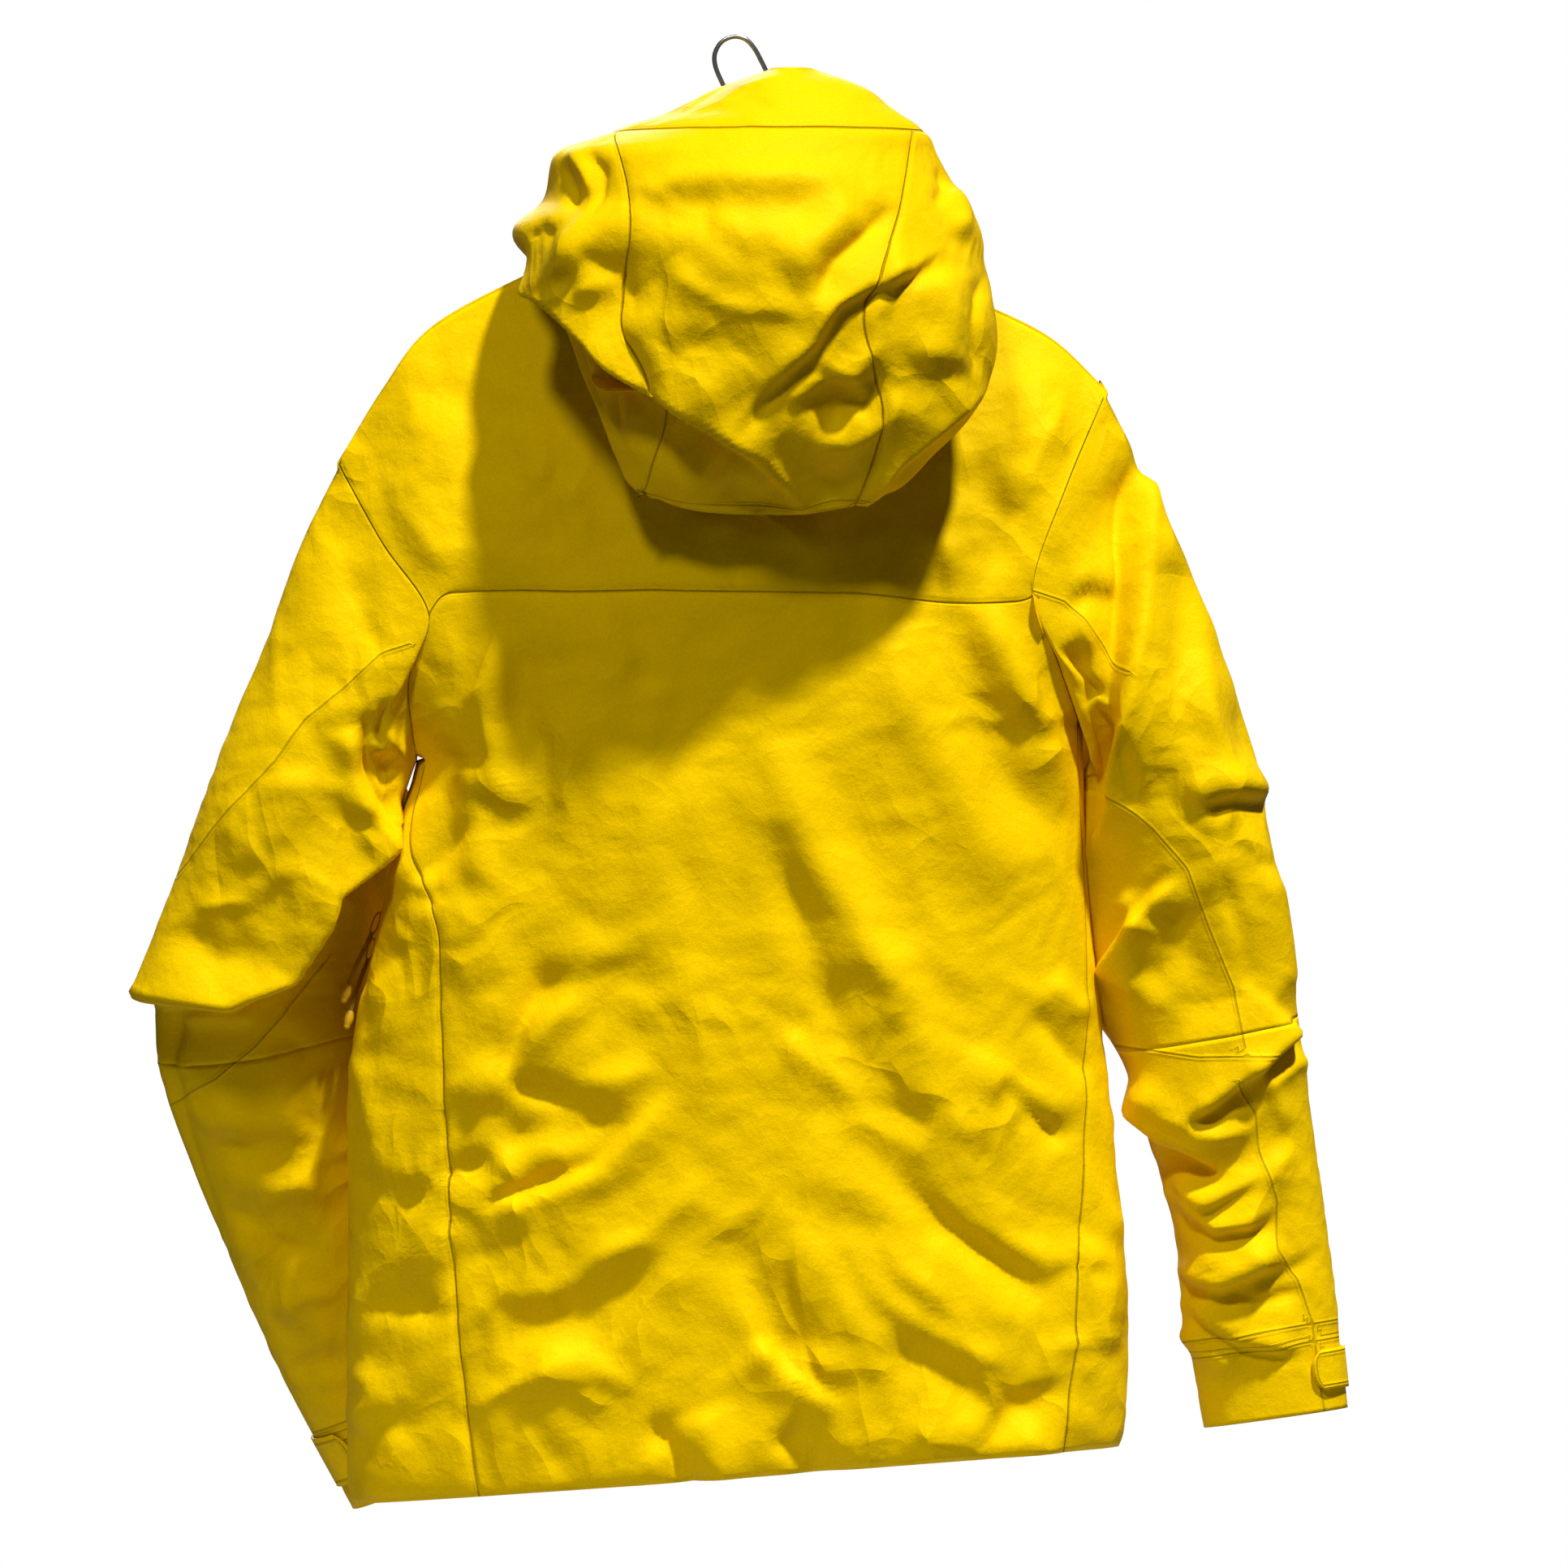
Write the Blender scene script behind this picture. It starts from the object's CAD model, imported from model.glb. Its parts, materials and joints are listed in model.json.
"""Looks of the hardshell jacket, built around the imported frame."""

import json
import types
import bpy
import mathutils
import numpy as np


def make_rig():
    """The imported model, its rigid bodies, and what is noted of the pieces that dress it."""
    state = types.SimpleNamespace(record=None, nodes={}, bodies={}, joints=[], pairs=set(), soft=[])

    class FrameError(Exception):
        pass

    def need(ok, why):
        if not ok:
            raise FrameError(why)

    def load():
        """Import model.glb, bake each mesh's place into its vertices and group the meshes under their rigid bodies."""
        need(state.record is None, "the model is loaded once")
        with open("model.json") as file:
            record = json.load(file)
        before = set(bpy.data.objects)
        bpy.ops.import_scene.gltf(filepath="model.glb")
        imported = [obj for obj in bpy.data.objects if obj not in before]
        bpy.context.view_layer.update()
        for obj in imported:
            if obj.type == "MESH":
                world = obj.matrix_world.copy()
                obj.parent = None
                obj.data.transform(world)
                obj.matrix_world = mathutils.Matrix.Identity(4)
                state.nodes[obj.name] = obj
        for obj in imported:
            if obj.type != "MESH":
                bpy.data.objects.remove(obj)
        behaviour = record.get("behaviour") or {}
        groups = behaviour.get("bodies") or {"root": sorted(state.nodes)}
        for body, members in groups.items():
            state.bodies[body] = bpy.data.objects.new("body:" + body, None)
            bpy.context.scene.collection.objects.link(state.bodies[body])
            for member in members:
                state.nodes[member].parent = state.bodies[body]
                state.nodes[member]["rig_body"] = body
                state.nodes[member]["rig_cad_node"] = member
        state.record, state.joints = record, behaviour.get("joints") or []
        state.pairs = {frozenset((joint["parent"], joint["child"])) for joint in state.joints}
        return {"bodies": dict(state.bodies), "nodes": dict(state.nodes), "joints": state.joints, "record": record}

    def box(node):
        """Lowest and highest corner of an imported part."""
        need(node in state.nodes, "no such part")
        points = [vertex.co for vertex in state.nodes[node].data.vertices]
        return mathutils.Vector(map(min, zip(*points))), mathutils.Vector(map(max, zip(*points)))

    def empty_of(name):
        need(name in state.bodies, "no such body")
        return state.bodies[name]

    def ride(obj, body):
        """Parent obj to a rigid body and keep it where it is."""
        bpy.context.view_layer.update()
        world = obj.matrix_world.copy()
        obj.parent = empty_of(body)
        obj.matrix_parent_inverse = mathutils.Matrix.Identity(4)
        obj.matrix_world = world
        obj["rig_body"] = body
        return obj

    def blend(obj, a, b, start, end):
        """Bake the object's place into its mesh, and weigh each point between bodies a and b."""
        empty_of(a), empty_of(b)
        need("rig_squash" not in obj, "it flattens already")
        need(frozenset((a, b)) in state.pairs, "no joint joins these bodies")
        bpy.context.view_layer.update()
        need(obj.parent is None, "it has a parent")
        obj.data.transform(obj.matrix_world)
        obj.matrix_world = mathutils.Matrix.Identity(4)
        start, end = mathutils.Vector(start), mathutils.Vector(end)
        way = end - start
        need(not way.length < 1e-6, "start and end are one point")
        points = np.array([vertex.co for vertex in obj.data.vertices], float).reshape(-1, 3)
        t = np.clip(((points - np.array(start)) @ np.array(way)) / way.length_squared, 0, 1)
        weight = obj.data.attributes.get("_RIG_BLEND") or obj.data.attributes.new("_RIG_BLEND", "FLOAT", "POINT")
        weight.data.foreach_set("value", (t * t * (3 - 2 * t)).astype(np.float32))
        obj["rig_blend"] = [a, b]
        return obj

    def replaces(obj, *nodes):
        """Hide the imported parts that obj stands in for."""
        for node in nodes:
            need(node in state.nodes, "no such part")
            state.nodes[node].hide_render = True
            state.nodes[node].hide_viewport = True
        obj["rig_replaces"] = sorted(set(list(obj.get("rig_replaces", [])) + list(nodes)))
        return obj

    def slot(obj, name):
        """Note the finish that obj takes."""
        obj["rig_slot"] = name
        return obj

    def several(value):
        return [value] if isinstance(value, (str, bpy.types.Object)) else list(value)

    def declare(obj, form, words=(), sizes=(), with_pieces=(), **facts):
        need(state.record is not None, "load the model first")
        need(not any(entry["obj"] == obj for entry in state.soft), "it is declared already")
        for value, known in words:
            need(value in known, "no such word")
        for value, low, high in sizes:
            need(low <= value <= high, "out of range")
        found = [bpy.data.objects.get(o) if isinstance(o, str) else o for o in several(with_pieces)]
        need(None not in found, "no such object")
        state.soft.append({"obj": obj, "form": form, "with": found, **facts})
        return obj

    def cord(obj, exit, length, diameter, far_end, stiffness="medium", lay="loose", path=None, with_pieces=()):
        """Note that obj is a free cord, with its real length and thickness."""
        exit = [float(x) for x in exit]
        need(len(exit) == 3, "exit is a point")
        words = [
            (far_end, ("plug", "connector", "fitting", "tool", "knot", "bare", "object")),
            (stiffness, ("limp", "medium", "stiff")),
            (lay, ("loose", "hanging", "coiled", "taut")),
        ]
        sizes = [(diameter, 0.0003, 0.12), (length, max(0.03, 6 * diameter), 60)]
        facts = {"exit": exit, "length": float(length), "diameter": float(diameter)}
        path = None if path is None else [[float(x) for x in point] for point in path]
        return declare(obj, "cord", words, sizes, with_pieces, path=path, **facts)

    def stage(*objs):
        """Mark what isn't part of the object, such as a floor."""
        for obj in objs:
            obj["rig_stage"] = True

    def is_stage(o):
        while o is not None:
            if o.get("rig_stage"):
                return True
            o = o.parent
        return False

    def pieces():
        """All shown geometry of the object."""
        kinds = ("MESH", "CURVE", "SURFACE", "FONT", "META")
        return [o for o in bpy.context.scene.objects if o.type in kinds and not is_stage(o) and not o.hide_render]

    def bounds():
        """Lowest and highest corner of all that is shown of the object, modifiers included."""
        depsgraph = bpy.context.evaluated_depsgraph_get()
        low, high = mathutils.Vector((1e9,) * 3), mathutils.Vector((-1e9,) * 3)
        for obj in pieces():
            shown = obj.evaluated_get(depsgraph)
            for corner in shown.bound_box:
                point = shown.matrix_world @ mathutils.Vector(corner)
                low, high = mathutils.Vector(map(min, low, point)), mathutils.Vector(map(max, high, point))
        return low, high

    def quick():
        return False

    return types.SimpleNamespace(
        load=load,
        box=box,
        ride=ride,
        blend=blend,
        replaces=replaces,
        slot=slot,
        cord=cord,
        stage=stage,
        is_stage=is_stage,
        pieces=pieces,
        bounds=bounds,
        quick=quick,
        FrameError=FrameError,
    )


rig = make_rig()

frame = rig.load()
import bpy, bmesh, json, math, random
import numpy as np
from mathutils import Vector, Matrix, noise as mnoise
lo_cad, hi_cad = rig.bounds()
random.seed(7)
rng = np.random.default_rng(7)
OZ = -135.0  # drafting frame (mm) to row frame

V = np.array
def lerp(a, b, t): return a + (b - a) * t
def clamp(x, a=0.0, b=1.0): return min(b, max(a, x))
def smooth(t):
    t = clamp(t); return t * t * (3 - 2 * t)
def norm(v):
    return v / max(1e-9, float(np.linalg.norm(v)))
def table(rows, t):
    n = len(rows)
    if t <= rows[0][0]: return V(rows[0][1:], dtype=float)
    if t >= rows[-1][0]: return V(rows[-1][1:], dtype=float)
    i = 0
    while t > rows[i + 1][0]: i += 1
    r0, r1, r2, r3 = rows[max(0, i - 1)], rows[i], rows[i + 1], rows[min(n - 1, i + 2)]
    h = r2[0] - r1[0]; s = (t - r1[0]) / h
    a0, a1, a2, a3 = (V(r[1:], dtype=float) for r in (r0, r1, r2, r3))
    m1 = (a2 - a0) / (r2[0] - r0[0]) * h if r2[0] - r0[0] > 1e-9 else a1 * 0
    m2 = (a3 - a1) / (r3[0] - r1[0]) * h if r3[0] - r1[0] > 1e-9 else a1 * 0
    s2, s3 = s * s, s * s * s
    return (2*s3 - 3*s2 + 1) * a1 + (s3 - 2*s2 + s) * m1 + (-2*s3 + 3*s2) * a2 + (s3 - s2) * m2
_tc = {}
_table = table
def table(rows, t):
    k = (id(rows), round(float(t), 6))
    r = _tc.get(k)
    if r is None:
        r = _table(rows, float(t)); _tc[k] = r
    return r.copy()
BODY = [[0.0, 0, 264, -92, 97], [0.2, 1, 264, -97, 93], [0.4, -3, 260, -98, 88], [0.6, -7, 254, -97, 84], [0.8, -1, 239, -95, 79], [1.0, 9, 226, -92, 75]]
ARMPIT_Z = [-355, -330]
PHI_BACK = [-76, 80]
PHI_FRONT = [-106, 108]
LEFT_SEAM_X = [[0, -175], [0.15, -183], [0.35, -192], [0.6, -198], [0.8, -203], [1, -217]]
RIGHT_SEAM_X = [[0, 223], [0.15, 229], [0.35, 234], [0.6, 238], [0.8, 236], [1, 233]]
ARM_BACK_L = [[0, -217, -22, -355], [0.25, -222, -46, -302], [0.5, -208, -58, -257], [0.75, -240, -36, -208], [1, -271, 0, -153]]
ARM_BACK_R = [[0, 233, -22, -330], [0.25, 216, -48, -283], [0.5, 201, -60, -238], [0.75, 224, -42, -170], [1, 252, 0, -104]]
ARM_FRONT_L = [[0, -217, 20, -355], [0.25, -220, 42, -302], [0.5, -212, 54, -255], [0.75, -242, 34, -205], [1, -271, 0, -153]]
ARM_FRONT_R = [[0, 233, 20, -330], [0.25, 218, 44, -283], [0.5, 205, 54, -236], [0.75, 226, 38, -168], [1, 252, 0, -104]]
TOP_BACK = [[0, -271, 0, -153], [0.09, -240, 0, -102], [0.18, -208, 0, -61], [0.27, -147, -2, -27], [0.385, -82, -8, 0], [0.44, -48, -38, 2], [0.5, 0, -50, 2], [0.56, 48, -38, 1], [0.615, 82, -8, -3], [0.76, 165, 0, -43], [0.87, 214, 0, -68], [1, 252, 0, -104]]
TOP_FRONT_L = [[0, -271, 0, -153], [0.16, -240, 0, -102], [0.32, -208, 0, -61], [0.48, -147, -2, -27], [0.68, -82, -8, 0], [0.8, -72, 22, -24], [0.9, -44, 48, -50], [1, -4, 61, -62]]
TOP_FRONT_R = [[0, 252, 0, -104], [0.2, 214, 0, -68], [0.4, 165, 0, -43], [0.68, 82, -8, -3], [0.8, 72, 22, -24], [0.9, 44, 48, -50], [1, 4, 61, -62]]
YOKE = [[0, 1.5], [0.06, 1.47], [0.15, 1.4], [0.3, 1.325], [0.5, 1.292], [0.7, 1.29], [0.85, 1.335], [0.94, 1.41], [1, 1.48]]
NECK_L = [[0, -7, 61, -62], [0.2, -44, 48, -50], [0.4, -72, 22, -24], [0.6, -82, -8, 0], [0.8, -48, -38, 2], [1, -2.5, -50, 2]]
NECK_R = [[0, 7, 61, -62], [0.2, 44, 48, -50], [0.4, 72, 22, -24], [0.6, 82, -8, -3], [0.8, 48, -38, 1], [1, 2.5, -50, 2]]
SLEEVE_L = [[0, -244, 0, -254, 98, 50], [0.12, -272, 0, -318, 60, 50], [0.25, -300, 2, -382, 57, 50], [0.38, -325, 8, -446, 56, 48], [0.48, -338, 14, -498, 58, 46], [0.56, -334, 26, -548, 63, 42], [0.66, -318, 56, -612, 58, 38], [0.78, -288, 82, -690, 55, 36], [0.9, -256, 100, -772, 50, 33], [1, -222, 110, -848, 44, 30]]
SLEEVE_R = [[0, 243, 0, -217, 98, 50], [0.12, 270, 2, -285, 52, 50], [0.24, 297, 4, -350, 54, 50], [0.36, 304, 8, -412, 57, 50], [0.46, 312, 12, -470, 61, 48], [0.56, 320, 18, -530, 61, 46], [0.66, 334, 24, -595, 56, 43], [0.78, 348, 28, -662, 51.5, 41], [0.9, 358, 30, -738, 51, 38], [1, 367, 30, -802, 49, 35]]
HOOD = [[-187, 15, 76, -134, -112, -117], [-165, 20, 97, -148, -105, -110], [-110, 29, 132, -168, -92, -94], [-55, 28, 147, -180, -74, -76], [-20, 14, 157, -183, -52, -44], [0, 9, 160, -182, -44, -8], [27, 12, 144, -173, -40, 6], [55, 8, 130, -155, -40, 2], [71, 18, 114, -138, -40, -4], [88, 30, 86, -116, -40, -14], [103, 36, 55, -92, -42, -28], [112, 38, 26, -72, -46, -44]]
HOOD_SEAM_L = [[-187, -64], [-104, -46], [-55, -71], [11, -70], [74, -84]]
HOOD_SEAM_R = [[-187, 80], [-120, 97], [-55, 85], [11, 109], [74, 120]]
NECK_PANEL = [[0, 6, 60, -60], [1, -14, 74, -67], [2, -44, 96, -78], [3, -82, 108, -90], [4, -120, 108, -101], [5, -152, 96, -110], [6, -176, 80, -117]]
BAR = [[-180, -112], [-168, -104], [-130, -86], [-82, -66], [-40, -48], [0, -38], [40, -49], [82, -70], [130, -94], [168, -115], [180, -123]]

HEM_Z, HEM_SLOPE, COLLAR_H, SQUARE = -840.0, 0.074, 62.0, 2.05
def sgn(x): return (1.0 if x > 0 else 0.0) - (1.0 if x < 0 else 0.0)
def body(phi, v):
    cx, w, yb, yf = table(BODY, v)
    s, c, p = math.sin(math.radians(phi)), math.cos(math.radians(phi)), 2 / SQUARE
    x = cx + w * sgn(s) * abs(s) ** p
    y = (yb if c > 0 else yf) * abs(c) ** p
    zh = HEM_Z + HEM_SLOPE * x
    za = lerp(ARMPIT_Z[0], ARMPIT_Z[1], clamp((x + 217) / 452))
    return V([x, y, lerp(zh, za, v)])
def phiAt(x, v):
    cx, w = table(BODY, v)[:2]
    r = clamp(abs(x - cx) / w, 0, 0.999)
    return math.degrees(sgn(x - cx) * math.asin(r ** (SQUARE / 2)))
def seamL(v): return lerp(phiAt(table(LEFT_SEAM_X, v)[0], v), PHI_BACK[0], smooth((v - 0.75) / 0.25))
def seamR(v): return lerp(phiAt(table(RIGHT_SEAM_X, v)[0], v), PHI_BACK[1], smooth((v - 0.75) / 0.25))
def frontL(v): return lerp(-128, PHI_FRONT[0], v)
def frontR(v): return lerp(128, PHI_FRONT[1], v)
def near(u, k): return (1 - clamp(u / k)) ** 2
def back(u, v):
    if v <= 1: return body(lerp(PHI_BACK[0], PHI_BACK[1], u), v)
    t = v - 1
    B = body(lerp(PHI_BACK[0], PHI_BACK[1], u), 1); T = table(TOP_BACK, u)
    p = lerp(B, T, t)
    dL = table(ARM_BACK_L, t) - lerp(body(PHI_BACK[0], 1), table(TOP_BACK, 0), t)
    dR = table(ARM_BACK_R, t) - lerp(body(PHI_BACK[1], 1), table(TOP_BACK, 1), t)
    p = p + dL * near(u, 0.45) + dR * near(1 - u, 0.45)
    p[1] -= 16 * math.sin(math.pi * t) * math.sin(math.pi * clamp(u)) ** 0.8
    return p
ZIP_HALF = 4
def front(side, u, v):
    phi0 = PHI_FRONT[0] if side < 0 else PHI_FRONT[1]
    def edge(vv):
        cx, w = table(BODY, vv)[:2]
        r = (ZIP_HALF * side - cx) / w
        return side * 180 - math.degrees(sgn(r) * math.asin(abs(r) ** (SQUARE / 2)))
    if v <= 1: return body(lerp(frontL(v) if side < 0 else frontR(v), edge(v), u), v)
    t = v - 1
    TOP = TOP_FRONT_L if side < 0 else TOP_FRONT_R
    ARM = ARM_FRONT_L if side < 0 else ARM_FRONT_R
    B = body(lerp(phi0, edge(1), u), 1); T = table(TOP, u)
    p = lerp(B, T, t)
    d = table(ARM, t) - lerp(body(phi0, 1), table(TOP, 0), t)
    p = p + d * near(u, 0.6)
    p[1] += 12 * math.sin(math.pi * t) * math.sin(math.pi * clamp(u)) ** 0.8
    return p
def yokeV(u): return table(YOKE, u)[0]
def sleeveRow(side, t):
    S = SLEEVE_L if side < 0 else SLEEVE_R
    x, y, z, hw, hd = table(S, t)
    a, b = table(S, max(0, t - 0.03)), table(S, min(1, t + 0.03))
    d = norm(b[:3] - a[:3])
    wide = norm(V([side, 0.0, 0.0]) - d * (side * d[0]))
    deep = norm(np.cross(d, wide))
    if deep[1] < 0: deep = -deep
    return V([x, y, z]), hw, hd, d, wide, deep
def armhole(side, ang):
    BK = ARM_BACK_L if side < 0 else ARM_BACK_R
    FR = ARM_FRONT_L if side < 0 else ARM_FRONT_R
    a = ang % 360
    if a <= 165: return table(FR, 1 - a / 165)
    if a >= 195: return table(BK, 1 - (360 - a) / 165)
    return lerp(table(FR, 0), table(BK, 0), (a - 165) / 30)
def sleeve(side, ang, t):
    C, hw, hd, d, wide, deep = sleeveRow(side, t)
    c, s, p = math.cos(math.radians(ang)), math.sin(math.radians(ang)), 2 / 2.25
    e = C + wide * (hw * sgn(c) * abs(c) ** p) + deep * (hd * sgn(s) * abs(s) ** p)
    w = smooth(t / 0.3)
    if w >= 1: return e
    st = armhole(side, ang) + (C - sleeveRow(side, 0)[0]) * 0.9
    return lerp(st, e, w)
def hoodEnd(z):
    cx, w, yb, ym, ye = table(HOOD, z)
    return math.degrees(math.acos(clamp((ym - ye) / (ym - yb), -1, 1)))
def hood(phi, z):
    cx, w, yb, ym, ye = table(HOOD, z)
    s, c = math.sin(math.radians(phi)), math.cos(math.radians(phi))
    return V([cx + w * s, ym - (ym - yb) * c, z])
def hoodPhi(X, z):
    cx, w = table(HOOD, z)[:2]
    return math.degrees(math.asin(clamp((table(X, z)[0] - cx) / w, -0.96, 0.96)))

# ---------------------------------------------------------------- visual hood outline (cx, half width)
HOODV = [[-192, 17, 80], [-178, 18.5, 93], [-152, 24, 108], [-122, 31.5, 128], [-80, 31, 145], [-36, 22.5, 149.5],
         [-20, 16, 152], [-4, 8.5, 158], [8, 7, 156], [23, 12, 143], [52, 6.5, 130.5], [59, 8, 126], [67, 19, 112],
         [75, 24, 98], [82, 30.5, 81], [88, 33, 70], [98, 36, 53], [105.5, 38, 35], [112, 37, 14]]
def hoodv(phi, z):
    _, _, yb, ym, ye = table(HOOD, z)
    cx, w = table(HOODV, z)
    s, c = math.sin(math.radians(phi)), math.cos(math.radians(phi))
    return V([cx + w * s, ym - (ym - yb) * c, z + 15 * math.exp(-max(0, z + 190) / 16) * abs(s) ** 3])
def hoodv_phi(X, z):
    cx, w = table(HOODV, z)
    return math.degrees(math.asin(clamp((table(X, z)[0] - cx) / w, -0.96, 0.96)))

# ---------------------------------------------------------------- folds
# Each fold runs along points (across, down) in units of 0.55 mm from a corner of the drafting plane:
# x = (a - 907) * 0.55, z = (291.45 - d) * 0.55. kind r: rounded ridge (negative height: valley);
# kind c: sharp crease; kind l: overlapping lip, raised on the side of the last point given in "side".
def X2(p): return (np.asarray(p, float)[..., 0] - 907) * 0.55
def Z2(p): return (291.45 - np.asarray(p, float)[..., 1]) * 0.55
def fold_field(x, z, folds):
    D = np.zeros_like(x)
    for kind, pts, w, h, *rest in folds:
        P = np.stack([X2(pts), Z2(pts)], 1)
        seg = np.diff(P, axis=0); L = np.hypot(seg[:, 0], seg[:, 1]); cum = np.concatenate([[0], np.cumsum(L)])
        lo, hi = P.min(0) - 4.5 * abs(w), P.max(0) + 4.5 * abs(w)
        m = (x > lo[0]) & (x < hi[0]) & (z > lo[1]) & (z < hi[1])
        if not m.any(): continue
        xx, zz = x[m], z[m]
        best = np.full(xx.shape, 1e9); sgn_ = np.ones(xx.shape); s_at = np.zeros(xx.shape)
        for k in range(len(seg)):
            d = seg[k] / L[k]
            tx = (xx - P[k, 0]) * d[0] + (zz - P[k, 1]) * d[1]
            tc = np.clip(tx, 0, L[k])
            dx, dz = xx - P[k, 0] - d[0] * tc, zz - P[k, 1] - d[1] * tc
            dist = np.hypot(dx, dz)
            up = dist < best
            best = np.where(up, dist, best); s_at = np.where(up, cum[k] + tc, s_at)
            sgn_ = np.where(up, np.sign(d[0] * (zz - P[k, 1]) - d[1] * (xx - P[k, 0])), sgn_)
        s = s_at / cum[-1]
        o = rest[0] if rest else {}
        fa, fb = o.get("fa", 0.25), o.get("fb", 0.25)
        fade = np.ones_like(s)
        if fa: q = np.clip(s / fa, 0, 1); fade = fade * q * q * (3 - 2 * q)
        if fb: q = np.clip((1 - s) / fb, 0, 1); fade = fade * q * q * (3 - 2 * q)
        if kind == "r": prof = np.exp(-(best / w) ** 2)
        elif kind == "c": prof = np.exp(-best / (0.6 * w))
        elif kind == "s":
            side = np.array(o["side"], float); sx, sz = X2(side), Z2(side)
            kb = min(range(len(seg)), key=lambda k: np.hypot(*(P[k] + seg[k] / 2 - [sx, sz])))
            d = seg[kb]; sg = np.sign(d[0] * (sz - P[kb, 1]) - d[1] * (sx - P[kb, 0])); t = best * sgn_ * sg
            prof = np.where(t >= 0, 0.3 * np.exp(-t / 14), 0.3 * np.exp(t / 5) - np.exp(t / w) * (1 - np.exp(t / 6.0)))
        else:
            side = np.array(o["side"], float); sx, sz = X2(side), Z2(side)
            kb = min(range(len(seg)), key=lambda k: np.hypot(*(P[k] + seg[k] / 2 - [sx, sz])))
            d = seg[kb]; sg = np.sign(d[0] * (sz - P[kb, 1]) - d[1] * (sx - P[kb, 0]))
            t = best * sgn_ * sg
            prof = np.where(t >= 0, np.exp(-t / w), np.exp(t / max(5.5, o.get("drop", 0.12 * w)))) - np.where(t < 0, o.get("under", 0.35) * np.exp(-((t + 7) / 6) ** 2), 0)
        D[m] += h * prof * fade
    return D
def scatter(n, box, ang, spread, lmin, lmax, wmin, wmax, hmin, hmax, seed):
    """n short folds in box (across0, down0, across1, down1); ang(a, d) gives the direction in degrees, 0 right, 90 down."""
    r = random.Random(seed); out = []
    for _ in range(n):
        a, d = r.uniform(box[0], box[2]), r.uniform(box[1], box[3])
        th = math.radians(ang(a, d) + r.gauss(0, spread)); L = r.uniform(lmin, lmax) / 0.55
        bend = r.uniform(-0.14, 0.14) * L
        c, s = math.cos(th), math.sin(th)
        pts = [(a - c * L / 2, d - s * L / 2), (a - s * bend, d + c * bend), (a + c * L / 2, d + s * L / 2)]
        h = r.uniform(hmin, hmax) * r.choice([1, 1, -1]); w = r.uniform(wmin, wmax)
        out.append((r.choice(["r", "c", "c"]), pts, w, h, {"fa": 0.45, "fb": 0.45}))
    return out
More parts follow.
